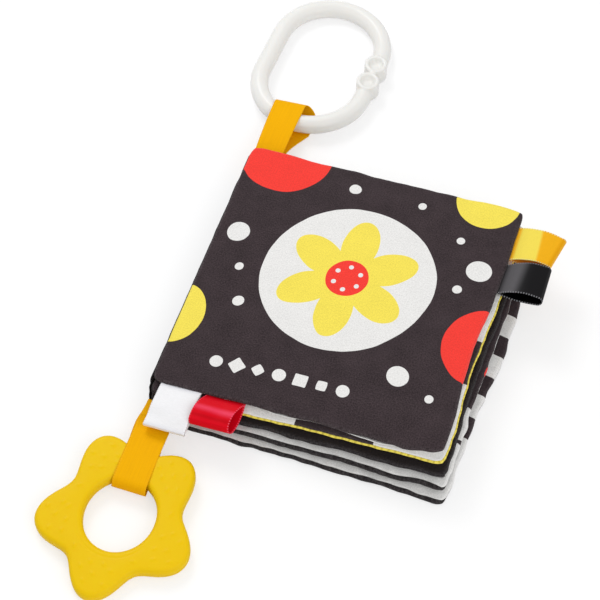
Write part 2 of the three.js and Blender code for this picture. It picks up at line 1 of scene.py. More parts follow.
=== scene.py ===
# Crinkle cloth book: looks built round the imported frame, sizes in millimetres until a mesh is made
import json
import math
import bmesh
import bpy
import numpy as np
from mathutils import Vector
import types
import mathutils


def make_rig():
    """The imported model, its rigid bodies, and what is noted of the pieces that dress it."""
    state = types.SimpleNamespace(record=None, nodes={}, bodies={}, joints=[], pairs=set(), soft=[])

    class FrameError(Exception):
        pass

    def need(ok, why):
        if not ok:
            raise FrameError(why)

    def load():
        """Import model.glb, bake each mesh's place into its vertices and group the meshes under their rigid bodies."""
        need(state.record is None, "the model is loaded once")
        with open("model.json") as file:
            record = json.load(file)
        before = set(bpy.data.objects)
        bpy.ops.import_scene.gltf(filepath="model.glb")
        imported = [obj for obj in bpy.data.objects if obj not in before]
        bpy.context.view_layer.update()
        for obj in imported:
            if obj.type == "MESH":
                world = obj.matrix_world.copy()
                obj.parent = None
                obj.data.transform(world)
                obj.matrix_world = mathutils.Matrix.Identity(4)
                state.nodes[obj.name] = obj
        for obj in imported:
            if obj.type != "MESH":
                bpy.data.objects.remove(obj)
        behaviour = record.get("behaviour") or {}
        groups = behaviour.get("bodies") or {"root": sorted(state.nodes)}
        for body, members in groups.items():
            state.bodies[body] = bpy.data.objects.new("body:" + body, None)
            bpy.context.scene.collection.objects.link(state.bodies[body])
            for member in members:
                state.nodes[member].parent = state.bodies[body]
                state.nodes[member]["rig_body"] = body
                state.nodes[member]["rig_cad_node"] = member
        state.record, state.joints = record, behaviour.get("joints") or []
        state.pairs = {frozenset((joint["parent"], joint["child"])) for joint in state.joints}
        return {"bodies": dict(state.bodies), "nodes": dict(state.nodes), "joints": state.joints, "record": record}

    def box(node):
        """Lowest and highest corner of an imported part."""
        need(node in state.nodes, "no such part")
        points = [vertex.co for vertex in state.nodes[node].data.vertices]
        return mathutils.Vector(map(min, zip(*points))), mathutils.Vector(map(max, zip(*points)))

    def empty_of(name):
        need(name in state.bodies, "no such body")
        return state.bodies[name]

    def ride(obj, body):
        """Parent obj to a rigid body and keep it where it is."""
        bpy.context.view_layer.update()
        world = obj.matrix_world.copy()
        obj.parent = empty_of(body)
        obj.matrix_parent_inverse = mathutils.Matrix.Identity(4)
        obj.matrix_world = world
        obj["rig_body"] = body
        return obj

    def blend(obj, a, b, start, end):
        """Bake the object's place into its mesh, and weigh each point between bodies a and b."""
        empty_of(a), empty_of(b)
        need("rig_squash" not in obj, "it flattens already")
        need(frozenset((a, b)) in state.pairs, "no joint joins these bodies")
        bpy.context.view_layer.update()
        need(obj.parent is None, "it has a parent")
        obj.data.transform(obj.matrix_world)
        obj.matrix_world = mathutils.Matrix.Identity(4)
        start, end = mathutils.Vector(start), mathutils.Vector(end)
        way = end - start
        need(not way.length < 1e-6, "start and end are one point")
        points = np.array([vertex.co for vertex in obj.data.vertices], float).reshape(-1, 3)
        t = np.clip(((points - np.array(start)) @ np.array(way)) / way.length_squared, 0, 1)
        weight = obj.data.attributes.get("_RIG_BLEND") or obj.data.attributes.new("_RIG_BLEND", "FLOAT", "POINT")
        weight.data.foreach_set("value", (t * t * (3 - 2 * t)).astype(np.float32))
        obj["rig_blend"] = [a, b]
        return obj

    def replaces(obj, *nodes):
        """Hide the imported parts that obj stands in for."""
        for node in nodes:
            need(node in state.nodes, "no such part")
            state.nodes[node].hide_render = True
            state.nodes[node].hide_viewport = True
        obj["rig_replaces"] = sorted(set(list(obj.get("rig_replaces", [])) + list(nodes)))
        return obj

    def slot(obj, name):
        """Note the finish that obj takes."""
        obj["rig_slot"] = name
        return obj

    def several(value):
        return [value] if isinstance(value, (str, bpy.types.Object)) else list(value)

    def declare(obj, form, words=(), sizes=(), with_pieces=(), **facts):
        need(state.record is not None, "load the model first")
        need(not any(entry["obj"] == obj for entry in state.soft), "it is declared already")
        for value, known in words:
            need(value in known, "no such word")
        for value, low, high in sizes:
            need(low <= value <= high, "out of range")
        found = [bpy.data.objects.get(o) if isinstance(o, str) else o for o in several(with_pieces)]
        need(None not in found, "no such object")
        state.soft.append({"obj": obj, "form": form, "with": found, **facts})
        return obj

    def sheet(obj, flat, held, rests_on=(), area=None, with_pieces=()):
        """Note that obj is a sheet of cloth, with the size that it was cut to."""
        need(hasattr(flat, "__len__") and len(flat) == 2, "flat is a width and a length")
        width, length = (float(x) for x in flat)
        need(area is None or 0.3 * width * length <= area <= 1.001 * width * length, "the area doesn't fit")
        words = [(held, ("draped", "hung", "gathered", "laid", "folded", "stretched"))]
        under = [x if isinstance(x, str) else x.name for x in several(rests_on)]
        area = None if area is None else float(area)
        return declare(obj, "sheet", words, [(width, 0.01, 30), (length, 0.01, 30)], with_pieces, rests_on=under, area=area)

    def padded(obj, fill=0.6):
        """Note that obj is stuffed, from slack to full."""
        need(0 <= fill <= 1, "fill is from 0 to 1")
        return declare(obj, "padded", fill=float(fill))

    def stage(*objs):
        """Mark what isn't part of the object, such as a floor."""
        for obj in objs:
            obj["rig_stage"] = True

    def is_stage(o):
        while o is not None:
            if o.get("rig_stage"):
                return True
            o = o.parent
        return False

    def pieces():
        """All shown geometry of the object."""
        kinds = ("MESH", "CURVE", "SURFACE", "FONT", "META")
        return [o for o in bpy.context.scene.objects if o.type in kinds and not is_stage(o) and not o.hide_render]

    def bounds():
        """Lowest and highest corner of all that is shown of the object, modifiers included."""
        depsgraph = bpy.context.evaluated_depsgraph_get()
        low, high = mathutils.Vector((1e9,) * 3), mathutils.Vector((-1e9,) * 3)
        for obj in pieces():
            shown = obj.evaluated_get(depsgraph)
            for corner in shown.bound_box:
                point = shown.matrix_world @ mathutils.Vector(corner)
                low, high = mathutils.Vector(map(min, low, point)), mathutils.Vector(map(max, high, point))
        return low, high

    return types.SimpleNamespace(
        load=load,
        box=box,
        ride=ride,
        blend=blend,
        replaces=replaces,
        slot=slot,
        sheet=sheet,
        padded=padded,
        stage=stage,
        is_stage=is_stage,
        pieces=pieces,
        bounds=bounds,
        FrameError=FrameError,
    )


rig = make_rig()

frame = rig.load()
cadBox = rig.bounds()
toMetres = 0.001
clothScale, ribbonScale = 150, 100  # millimetres of cloth and of ribbon to one unit of their texture maps
pi = math.pi
print("frame loaded", len(frame["nodes"]), "nodes")


# Camera, at the photograph's angle
photoView = {
    "lens": 114,
    "azimuth": 18.67,
    "elevation": 57.44,
    "distance": 981.7,
    "target": (-28.84, 15.52, 0),
}


def addCamera():
    turn, lift = math.radians(photoView["azimuth"]), math.radians(photoView["elevation"])
    back = Vector((math.sin(turn) * math.cos(lift), -math.cos(turn) * math.cos(lift), math.sin(lift)))
    data = bpy.data.cameras.new("photoCamera")
    data.lens = photoView["lens"]
    data.clip_end = 20
    camera = bpy.data.objects.new("photoCamera", data)
    bpy.context.scene.collection.objects.link(camera)
    camera.location = (Vector(photoView["target"]) + back * photoView["distance"]) * toMetres
    camera.rotation_mode = "QUATERNION"
    camera.rotation_quaternion = (-back).to_track_quat("-Z", "Y")
    bpy.context.scene.camera = camera


addCamera()
bpy.context.scene.view_settings.view_transform = "Standard"


# Small tools for nodes
def linear(code):
    parts = [int(code[i:i + 2], 16) / 255 for i in (0, 2, 4)]
    return tuple(p / 12.92 if p <= 0.04045 else ((p + 0.055) / 1.055) ** 2.4 for p in parts) + (1,)


def setSockets(tree, node, values):
    # A socket is linked, any other value is set on the node's own socket
    for key, value in values.items():
        if isinstance(value, bpy.types.NodeSocket):
            tree.links.new(value, node.inputs[key])
        else:
            node.inputs[key].default_value = value


def addNode(tree, kind, inputs=None, **settings):
    made = tree.nodes.new(kind)
    for key, value in settings.items():
        setattr(made, key, value)
    setSockets(tree, made, inputs or {})
    return made


def calc(tree, operation, *values, clamp=False):
    inputs = dict(enumerate(values))
    return addNode(tree, "ShaderNodeMath", inputs, operation=operation, use_clamp=clamp).outputs[0]


def times(tree, a, b):
    return calc(tree, "MULTIPLY", a, b)


def weighted(tree, *terms):
    # Sum of values, each times its weight
    parts = [times(tree, value, weight) for value, weight in terms]
    total = parts[0]
    for part in parts[1:]:
        total = calc(tree, "ADD", total, part)
    return total


def vectorCalc(tree, operation, a, b):
    return addNode(tree, "ShaderNodeVectorMath", {0: a, 1: b}, operation=operation).outputs[0]


def scaled(tree, place, factor):
    return vectorCalc(tree, "MULTIPLY", place, (factor,) * 3 if isinstance(factor, (int, float)) else factor)


def axesOf(tree, place):
    return addNode(tree, "ShaderNodeSeparateXYZ", {0: place}).outputs


def between(tree, value, low, high, outLow=0.0, outHigh=1.0, smooth=True):
    inputs = {"Value": value, "From Min": low, "From Max": high, "To Min": outLow, "To Max": outHigh}
    kind = "SMOOTHSTEP" if smooth else "LINEAR"
    return addNode(tree, "ShaderNodeMapRange", inputs, interpolation_type=kind).outputs["Result"]


def mixColor(tree, share, a, b, blend="MIX"):
    made = addNode(tree, "ShaderNodeMix", data_type="RGBA", blend_type=blend)
    numbers = {socket.identifier: i for i, socket in enumerate(made.inputs)}
    setSockets(tree, made, {numbers["Factor_Float"]: share, numbers["A_Color"]: a, numbers["B_Color"]: b})
    return next(socket for socket in made.outputs if socket.identifier == "Result_Color")


def shaded(tree, color, shade):
    gray = addNode(tree, "ShaderNodeCombineXYZ", {0: shade, 1: shade, 2: shade}).outputs[0]
    return mixColor(tree, 1.0, color, gray, "MULTIPLY")


def noise(tree, place, scale, detail=2.0, roughness=0.5, output=0):
    inputs = {"Vector": place, "Scale": scale, "Detail": detail, "Roughness": roughness}
    return addNode(tree, "ShaderNodeTexNoise", inputs).outputs[output]


def mapPlace(tree, scale):
    # Millimetres along and across the cloth or the ribbon
    return scaled(tree, addNode(tree, "ShaderNodeTexCoord").outputs["UV"], scale)


def objectPlace(tree):
    return addNode(tree, "ShaderNodeTexCoord").outputs["Object"]


def newGroup(name, inputs, outputs):
    tree = bpy.data.node_groups.new(name, "ShaderNodeTree")
    for label, kind in inputs.items():
        tree.interface.new_socket(label, in_out="INPUT", socket_type="NodeSocket" + kind)
    for label in outputs:
        tree.interface.new_socket(label, in_out="OUTPUT", socket_type="NodeSocketFloat")
    return tree, tree.nodes.new("NodeGroupInput").outputs, tree.nodes.new("NodeGroupOutput").inputs


def giveOut(tree, out, **values):
    for label, value in values.items():
        tree.links.new(value, out[label])


def useGroup(tree, group, **values):
    made = addNode(tree, "ShaderNodeGroup", node_tree=group)
    setSockets(tree, made, {key.replace("_", " "): value for key, value in values.items()})
    return made.outputs


# Shared effects: places come in as millimetres on the cloth
def makeWeaveGroup():
    # Plain weave: two sets of threads that pass over each other, with uneven yarn
    tree, given, out = newGroup("plainWeave", {"Place": "Vector", "Thread": "Float"}, ["Height", "Tone"])
    drift = noise(tree, given["Place"], 0.35, 1.0, output=1)
    axes = axesOf(tree, vectorCalc(tree, "ADD", scaled(tree, drift, 0.5), given["Place"]))
    turns = [times(tree, calc(tree, "DIVIDE", axes[i], given["Thread"]), pi) for i in (0, 1)]
    sines = [calc(tree, "SINE", turn) for turn in turns]
    over = between(tree, times(tree, *sines), -0.4, 0.4)
    under = 0.35  # height of a thread where it passes below the other
    warp = times(tree, calc(tree, "ABSOLUTE", sines[0]), between(tree, over, 0, 1, under, 1, False))
    weft = times(tree, calc(tree, "ABSOLUTE", sines[1]), between(tree, over, 0, 1, 1, under, False))
    threads = calc(tree, "MAXIMUM", warp, weft)
    yarn = noise(tree, given["Place"], 1.4, 3.0, 0.7)
    giveOut(tree, out, Height=weighted(tree, (threads, 0.6), (yarn, 0.8)),
            Tone=weighted(tree, (threads, 0.35), (yarn, 0.65)))
    return tree


def makePrintGroup():
    # One printed shape: an ellipse at Squareness 2, a block when higher, a diamond at 1
    wander, softness = 1.2, 0.12  # millimetres that its outline strays and blurs
    inputs = {"Place": "Vector", "Middle": "Vector", "Half Size": "Vector"}
    inputs.update({"Turn": "Float", "Squareness": "Float"})
    tree, given, out = newGroup("printedShape", inputs, ["Mask"])
    stray = vectorCalc(tree, "SUBTRACT", noise(tree, given["Place"], 0.06, output=1), (0.5, 0.5, 0.5))
    moved = vectorCalc(tree, "ADD", scaled(tree, stray, wander), given["Place"])
    inputs = {"Vector": vectorCalc(tree, "SUBTRACT", moved, given["Middle"]), "Angle": given["Turn"]}
    turned = addNode(tree, "ShaderNodeVectorRotate", inputs, rotation_type="Z_AXIS").outputs[0]
    axes = axesOf(tree, vectorCalc(tree, "DIVIDE", turned, given["Half Size"]))
    powers = [calc(tree, "POWER", calc(tree, "ABSOLUTE", axes[i]), given["Squareness"]) for i in (0, 1)]
    reach = calc(tree, "POWER", calc(tree, "ADD", *powers), calc(tree, "DIVIDE", 1.0, given["Squareness"]))
    size = axesOf(tree, given["Half Size"])
    soft = calc(tree, "DIVIDE", softness, calc(tree, "MINIMUM", size[0], size[1]))
    inside = calc(tree, "DIVIDE", calc(tree, "SUBTRACT", 1.0, reach), soft)
    giveOut(tree, out, Mask=calc(tree, "ADD", inside, 0.5, clamp=True))
    return tree


def makeClothToneGroup():
    # Print that is a little uneven, paler where the edges rub, and the distance to the nearest edge
    rubbed = 2.2  # how far in from the edge the cloth is rubbed
    tree, given, out = newGroup(
        "clothTone", {"Place": "Vector", "Length": "Float", "Height": "Float"}, ["Mottle", "Rub", "Distance"]
    )
    axes = axesOf(tree, given["Place"])
    nearer = [calc(tree, "MINIMUM", axes[i], calc(tree, "SUBTRACT", given[side], axes[i]))
              for i, side in enumerate(("Length", "Height"))]
    toEdge = calc(tree, "MINIMUM", *nearer)
    patchy = noise(tree, given["Place"], 0.09, 4.0, 0.6)
    fine = noise(tree, given["Place"], 1.3, 2.0, 0.8)
    band = between(tree, toEdge, 0.0, rubbed, 1.0, 0.0)
    giveOut(tree, out, Mottle=weighted(tree, (patchy, 0.25), (fine, 0.75)),
            Rub=times(tree, band, between(tree, fine, 0.35, 0.7)), Distance=toEdge)
    return tree


def makeSatinGroup():
    # Satin ribbon: long floats across fine ribs, and a woven edge of small loops
    loopPitch = 1.3
    inputs = {"Place": "Vector", "Width": "Float"}
    tree, given, out = newGroup("satinRibbon", inputs, ["Height", "Tone", "Edge"])
    along, across = list(axesOf(tree, given["Place"]))[:2]
    twill = calc(tree, "SINE", times(tree, weighted(tree, (along, 1.9), (across, 1.1)), 2 * pi))
    floats = noise(tree, scaled(tree, given["Place"], (3.4, 0.35, 1.0)), 1.0, 3.0, 0.6)
    streaks = noise(tree, scaled(tree, given["Place"], (0.06, 2.2, 1.0)), 1.0)
    toEdge = calc(tree, "MINIMUM", across, calc(tree, "SUBTRACT", given["Width"], across))
    loops = between(tree, calc(tree, "SINE", times(tree, along, 2 * pi / loopPitch)), -0.1, 0.5)
    edge = times(tree, between(tree, toEdge, 0.35, 0.75, 1.0, 0.0), loops)
    giveOut(tree, out, Height=weighted(tree, (twill, 0.18), (floats, 0.5), (edge, 0.8)),
            Tone=weighted(tree, (floats, 0.4), (streaks, 0.6)), Edge=edge)
    return tree


def makeMouldedGroup():
    # Moulded plastic or silicone: faint flow marks, fine skin, small scuffs
    inputs = {"Place": "Vector", "Grain": "Float"}
    tree, given, out = newGroup("mouldedSkin", inputs, ["Height", "Tone", "Scuff"])
    scuffs = noise(tree, scaled(tree, given["Place"], (1.0, 4.0, 1.0)), 160.0, 4.0, 0.8)
    giveOut(tree, out, Height=noise(tree, given["Place"], given["Grain"], 3.0, 0.6),
            Tone=noise(tree, given["Place"], 45.0, 3.0, 0.55), Scuff=between(tree, scuffs, 0.6, 0.78))
    return tree


weaveGroup = makeWeaveGroup()
printGroup = makePrintGroup()
clothToneGroup = makeClothToneGroup()
satinGroup = makeSatinGroup()
mouldedGroup = makeMouldedGroup()


def newMaterial(name):
    material = bpy.data.materials.new(name)
    material.use_nodes = True
    return material, material.node_tree, material.node_tree.nodes["Principled BSDF"]


def bump(tree, height, strength, distance):
    inputs = {"Height": height, "Strength": strength, "Distance": distance * toMetres}
    return addNode(tree, "ShaderNodeBump", inputs).outputs[0]


# Printed cloth: a base colour and a list of shapes, each with its colour, middle and half size
inks = {
    "black": linear("3c3235"),
    "deepBlack": linear("221d1f"),
    "white": linear("efeeec"),
    "yellow": linear("fbe75c"),
    "red": linear("fb4239"),
}


hatch = {"pitch": 3.3, "lean": 0.45, "strength": 0.36, "fade": (3.0, 3.6), "color": "8a7420"}


def hatched(tree, place, toEdge, color):
    # Slanted lines on the cloth that turns round the edge
    axes = axesOf(tree, place)
    along = calc(tree, "DIVIDE", calc(tree, "SUBTRACT", axes[0], axes[1]), hatch["pitch"])
    turns = calc(tree, "ADD", along, times(tree, toEdge, hatch["lean"]))
    lines = between(tree, calc(tree, "SINE", times(tree, turns, 2 * pi)), 0.1, 0.9, 0.0, hatch["strength"])
    rolled = between(tree, toEdge, *hatch["fade"], 1.0, 0.0)
    return mixColor(tree, times(tree, lines, rolled), color, linear(hatch["color"]))


def clothMaterial(name, base, shapes, length):
    material, tree, shader = newMaterial(name)
    place = mapPlace(tree, clothScale)
    weave = useGroup(tree, weaveGroup, Place=place, Thread=0.55)
    tone = useGroup(tree, clothToneGroup, Place=place, Length=length, Height=leafSizes["height"])
    color = inks[base]
    if base == "yellow":
        color = hatched(tree, place, tone["Distance"], color)
    for ink, middle, half, *rest in shapes:
        turn, squareness = (list(rest) + [0.0, 2.0][len(rest):])[:2]
        values = {"Middle": (*middle, 0), "Half_Size": (*half, 1), "Turn": math.radians(turn)}
        mask = useGroup(tree, printGroup, Place=place, Squareness=squareness, **values)["Mask"]
        color = mixColor(tree, mask, color, inks[ink])
    # The speckle of the weave shows more in the dark inks
    paleness = addNode(tree, "ShaderNodeSeparateColor", {0: color}).outputs[0]
    strength = between(tree, paleness, 0.05, 0.5, 3.0, 0.5)
    speckle = times(tree, calc(tree, "SUBTRACT", tone["Mottle"], 0.5), strength)
    grain = between(tree, weave["Tone"], 0.25, 0.85, 0.74, 1.24, False)
    toned = shaded(tree, color, times(tree, grain, calc(tree, "ADD", speckle, 1.0)))
    setSockets(tree, shader, {
        "Base Color": mixColor(tree, times(tree, tone["Rub"], 0.1), toned, linear("b9b4b4")),
        "Roughness": between(tree, weave["Tone"], 0.2, 0.9, 0.82, 0.96, False),
        "Normal": bump(tree, weave["Height"], 0.55, 0.12),
        "Specular IOR Level": 0.12,
        "Sheen Weight": 0.08,
        "Sheen Roughness": 0.5,
    })
    return material


def satinMaterial(name, values, width):
    # Satin: painted highlight bands of paler colour and painted shade bands of deeper colour along the ribbon, with a
    # row of small loops at each edge
    material, tree, shader = newMaterial(name)
    place = mapPlace(tree, ribbonScale)
    satin = useGroup(tree, satinGroup, Place=place, Width=width)
    axes = axesOf(tree, place)
    color = linear(values["base"])
    # Painted light: the bands paint highlights and shade into the colour at places along the ribbon
    for code, first, last, soft, slant, share in values["bands"]:
        slanted = calc(tree, "ADD", axes[0], times(tree, axes[1], slant))
        band = times(tree, between(tree, axes[0], first - soft, first + soft),
                     between(tree, slanted, last - soft, last + soft, share, 0.0))
        color = mixColor(tree, band, color, linear(code))
    toned = shaded(tree, color, between(tree, satin["Height"], 0.0, 0.6, 0.84, 1.08, False))
    setSockets(tree, shader, {
        "Base Color": mixColor(tree, times(tree, satin["Edge"], 0.8), toned, linear(values["edge"])),
        "Roughness": between(tree, satin["Tone"], 0.2, 0.8, 0.34, 0.48, False),
        "Normal": bump(tree, satin["Height"], 0.3, 0.05),
        "Tangent": addNode(tree, "ShaderNodeTangent", direction_type="UV_MAP", uv_map="UVMap").outputs[0],
        "Anisotropic": 0.6,
        "Specular IOR Level": values["gloss"],
    })
    return material


def ribbonMaterial(name, values):
    # Close-woven ribbon with hardly any gloss
    material, tree, shader = newMaterial(name)
    satin = useGroup(tree, satinGroup, Place=mapPlace(tree, ribbonScale), Width=values["width"])
    tone = between(tree, satin["Tone"], 0.3, 0.7)
    color = mixColor(tree, tone, linear(values["deep"]), linear(values["base"]))
    setSockets(tree, shader, {
        "Base Color": mixColor(tree, times(tree, satin["Edge"], 0.3), color, linear(values["edge"])),
        "Roughness": between(tree, satin["Tone"], 0.2, 0.8, 0.6, 0.75, False),
        "Normal": bump(tree, satin["Height"], 0.15, 0.02),
        "Specular IOR Level": 0.07,
    })
    return material


# Small tools for meshes
def addPiece(name, points, faces, uvs=None, material=None, smooth=True):
    mesh = bpy.data.meshes.new(name)
    mesh.from_pydata((np.asarray(points, float) * toMetres).tolist(), [], faces)
    if uvs is not None:
        layer = mesh.uv_layers.new(name="UVMap")
        corners = np.zeros(len(mesh.loops), np.int32)
        mesh.loops.foreach_get("vertex_index", corners)
        layer.data.foreach_set("uv", np.asarray(uvs, np.float32)[corners].ravel())
    if smooth:
        mesh.shade_smooth()
    mesh.validate()
    piece = bpy.data.objects.new(name, mesh)
    bpy.context.scene.collection.objects.link(piece)
    if material:
        mesh.materials.append(material)
    return piece


def gridFaces(rows, columns, start=0, flip=False):
    at = np.arange(rows * columns).reshape(rows, columns) + start
    quads = np.stack([at[:-1, :-1], at[:-1, 1:], at[1:, 1:], at[1:, :-1]], -1).reshape(-1, 4)
    return (quads[:, ::-1] if flip else quads).tolist()


def closedSheet(outer, inner):
    # Faces of a thin body between two grids of points, outer facing out
    rows, columns = outer.shape[:2]
    count = rows * columns
    points = np.concatenate([outer.reshape(-1, 3), inner.reshape(-1, 3)])
    faces = gridFaces(rows, columns) + gridFaces(rows, columns, count, True)
    at = np.arange(count).reshape(rows, columns)
    rim = np.concatenate([at[0, :-1], at[:-1, -1], at[-1, :0:-1], at[:0:-1, 0]])
    following = np.roll(rim, -1)
    faces += np.stack([following, rim, rim + count, following + count], -1).tolist()
    return points, faces


def bothSides(uv):
    return np.concatenate([uv.reshape(-1, 2)] * 2)


def ripples(seed, shortest, longest, count=14):
    # Smooth seeded unevenness: plane waves of mixed lengths and directions
    dice = np.random.default_rng(seed)
    turns = dice.uniform(0, 2 * pi, count)
    waves = list(zip(turns, dice.uniform(shortest, longest, count), dice.uniform(0, 2 * pi, count)))

    def field(x, y):
        total = sum(np.sin(2 * pi * (x * math.cos(turn) + y * math.sin(turn)) / length + phase)
                    for turn, length, phase in waves)
        return total / math.sqrt(count)
    return field


def lineRipples(seed, shortest, longest, count=10):
    dice = np.random.default_rng(seed)
    waves = list(zip(dice.uniform(shortest, longest, count), dice.uniform(0, 2 * pi, count)))

    def field(run):
        return sum(np.sin(2 * pi * run / length + phase) for length, phase in waves) / math.sqrt(count)
    return field


# Leaves: the same driving sizes as the frame's leaves
leafNames = ("front_cover", "page_1", "page_2", "page_3", "back_cover")
firstLeaf, lastLeaf = 0, len(leafNames) - 1
leafSizes = {
    "coverLength": 150,
    "height": 151,
    "growth": 0.9,
    "stepX": 0.8,
    "stepY": 2.6,
    "fan": math.radians(0.3),
    "spinePitch": 3.8,
    "foreEdgePitch": 6.8,
    "clearance": 0.4,
    "rollSpine": 1.35,  # radius of the rolled edge, at the spine and at the fore edge
    "rollFore": 2.0,
    "rollRipple": 0.08,
    "pillowRise": 16,
    "crown": 1.1,
    "cornerReach": 7.5,
    "cornerRoundShare": 0.75,
    "foreDrawIn": 2,
    "foreDrawAt": (-0.25, 0.4, 1.3),  # its middle and spread as shares of the half height, and its gain
    "endDrawIn": 1,
    "taper": 2.2,
    "waveReach": 9,  # how far in an edge's waves reach, and from where on the end edges are free of the spine
    "freeFrom": 40,
    "cloth": 0.45,
    "seamGap": 0.1,
    "grooveDepth": 0.3,
    "grooveWidth": 0.45,
    "leastRadius": 0.05,
    "floorGap": 0.02,
}
restHalf = (leafSizes["spinePitch"] - leafSizes["clearance"]) / 2
pitchGrowth = leafSizes["foreEdgePitch"] - leafSizes["spinePitch"]

# Grid lines of the panels and of the layers inside them: their places near an edge, and the step elsewhere
panelGrid = {"near": (0, 0.12, 0.3, 0.5, 0.75, 1, 1.3, 1.6, 2, 2.6, 3.4, 4.4, 5.8, 7.4), "step": 1.5}
layerGrid = {"near": (7.5, 9), "step": 2.6}


def leafAt(n):
    levelsUp = lastLeaf - n
    return {
        "n": n,
        "name": leafNames[n],
        "length": leafSizes["coverLength"] + leafSizes["growth"] * n,
        "origin": np.array([leafSizes["stepX"] * n, -leafSizes["stepY"] * n,
                            restHalf + leafSizes["spinePitch"] * levelsUp]),
        "tilt": math.atan(pitchGrowth / leafSizes["coverLength"]) * levelsUp,
        "fan": -leafSizes["fan"] * n,
        "drawIn": leafSizes["foreDrawIn"] * levelsUp / lastLeaf,
    }


backLeaf = leafAt(lastLeaf)
bookPlace = np.array([
    -backLeaf["origin"][0] - backLeaf["length"] / 2 * math.cos(backLeaf["fan"]),
    -backLeaf["origin"][1] - backLeaf["length"] / 2 * math.sin(backLeaf["fan"]),
    0,
])


def placeLeaf(leaf, points):
    # From a leaf's own axes to the row frame: tilt up to the fore edge, then turn
    x, y, z = points[..., 0], points[..., 1], points[..., 2]
    ct, st = math.cos(leaf["tilt"]), math.sin(leaf["tilt"])
    cf, sf = math.cos(leaf["fan"]), math.sin(leaf["fan"])
    tx, tz = x * ct - z * st, x * st + z * ct
    return np.stack([tx * cf - y * sf, tx * sf + y * cf, tz], -1) + leaf["origin"] + bookPlace


def gridPlaces(leaf, grid):
    # Places along and up a leaf, close together in its rolled edges
    lines = []
    for span in (leaf["length"], leafSizes["height"]):
        near = np.array(grid["near"])
        count = int((span - 2 * near[-1]) / grid["step"])
        middle = np.linspace(near[-1], span - near[-1], count + 1)[1:-1]
        lines.append(np.concatenate([near, middle, span - near[::-1]]))
    return np.meshgrid(*lines)


# Free edges: how far they wave up and aside, their puckers, their loose swell, and the angle on the rolled
# edge where the two panels meet: on the end edges at the spine and at the fore edge, and on the fore edge
leafWaves = {
    "front_cover": {"lift": 0.3, "aside": 0.22, "pucker": 0.14, "swell": 0.22, "seam": (-28, -28, -28)},
    "page_1": {"lift": 0.2, "aside": 0.15, "pucker": 0.28, "swell": 0.3, "seam": (40, 34, 36)},
    "page_2": {"lift": 0.35, "aside": 0.28, "pucker": 0.32, "swell": 0.3, "seam": (15, 15, 15)},
    "page_3": {"lift": 0.4, "aside": 0.32, "pucker": 0.5, "swell": 0.3, "seam": (96, 78, -15)},
    "back_cover": {"lift": 0.22, "aside": 0.3, "pucker": 0.4, "swell": 0.2, "seam": (94, 78, -5)},
}
puckerShape = {
    "start": 1.5,
    "reach": 5,
    "lengths": (5, 17),
    "lean": 0.35,
    "dip": 0.6,
    "gain": 1.3,
    "corner": 9,
    "least": 0.3,
}
liningPeeks = ((68, 7, 1.1), (115, 10, 1.3), (40, 5, 0.5))  # where the lining shows: place, reach, how far
peekFade = 3
# Slant of the cover's lower edge: how far, where it crosses the straight line, and where the corner eases it
coverEnd = {"far": 3.0, "still": 63, "corner": (150, 130), "cornerShare": 0.8, "reach": 60}
backBulge = {"far": 3.2, "from": (40, 95), "to": (147, 110)}  # the back cover's fore edge stands out
# How far a face may rise past its level place, and how much of its swell shows
looseTop, heldFace = {"rise": 0.9, "swell": 1}, {"rise": 0.15, "swell": 0.6}


def rise(value, low, high):
    share = np.clip((value - low) / (high - low), 0, 1)
    return share ** 2 * (3 - 2 * share)


def coverSlant(along):
    slant = coverEnd["far"] * (coverEnd["still"] - along) / coverEnd["still"]
    return slant * (1 - coverEnd["cornerShare"] * (1 - rise(along, *coverEnd["corner"])))


def edgeDistances(leaf, along, up):
    return np.minimum(along, leaf["length"] - along), np.minimum(up, leafSizes["height"] - up)


def leafMiddle(leaf, along, up):
    # Place of a leaf's middle sheet: round corners, drawn-in and waving edges
    sizes, waves, n = leafSizes, leafWaves[leaf["name"]], leaf["n"]
    length, height, reach = leaf["length"], sizes["height"], sizes["cornerReach"]
    toX, toY = edgeDistances(leaf, along, up)
    shareX, shareY = np.clip(1 - toX / reach, 0, 1), np.clip(1 - toY / reach, 0, 1)
    share = sizes["cornerRoundShare"]
    inX = np.where(toX < reach, reach * (1 - shareX * np.sqrt(1 - share * shareY ** 2 / 2)), toX)
    inY = np.where(toY < reach, reach * (1 - shareY * np.sqrt(1 - share * shareX ** 2 / 2)), toY)
    x = np.where(along < length / 2, inX, length - inX)
    y = np.where(up < height / 2, inY, height - inY)
    fx, fy = 2 * x / length - 1, 2 * y / height - 1
    drawAt, spread, gain = sizes["foreDrawAt"]
    outX = x - leaf["drawIn"] * (x / length) * gain * np.exp(-((fy - drawAt) / spread) ** 2)
    outY = y - height / 2 - fy * (sizes["endDrawIn"] * (1 - fx ** 2) + sizes["taper"] * fx)
    if n == firstLeaf:
        outY = outY + coverSlant(along) * np.clip(1 - up / coverEnd["reach"], 0, 1) ** 2
    if n == lastLeaf:
        stand = rise(up, *backBulge["from"]) * rise(up, *backBulge["to"])
        outX = outX + backBulge["far"] * (x / length) ** 2 * stand
    free = np.clip(along / sizes["freeFrom"], 0, 1)
    foreFade, endFade = np.exp(-(length - along) / sizes["waveReach"]), np.exp(-toY / sizes["waveReach"])
    end = np.where(up < height / 2, -1.0, 1.0)
    foreLine, foreLift = lineRipples(10 * n + 1, 10, 60), lineRipples(10 * n + 2, 20, 70)
    endLines = [lineRipples(10 * n + 3, 9, 60), lineRipples(10 * n + 4, 9, 60)]
    endLifts = [lineRipples(10 * n + 5, 22, 75), lineRipples(10 * n + 6, 22, 75)]
    endLine = np.where(end < 0, endLines[0](along), endLines[1](along))
    endLift = np.where(end < 0, endLifts[0](along), endLifts[1](along))
    outX = outX + waves["aside"] * foreLine(up) * foreFade
    outY = outY + waves["aside"] * endLine * endFade * free * end
    lift = waves["lift"] * (foreLift(up) * foreFade + endLift * endFade * free)
    return outX, outY, lift


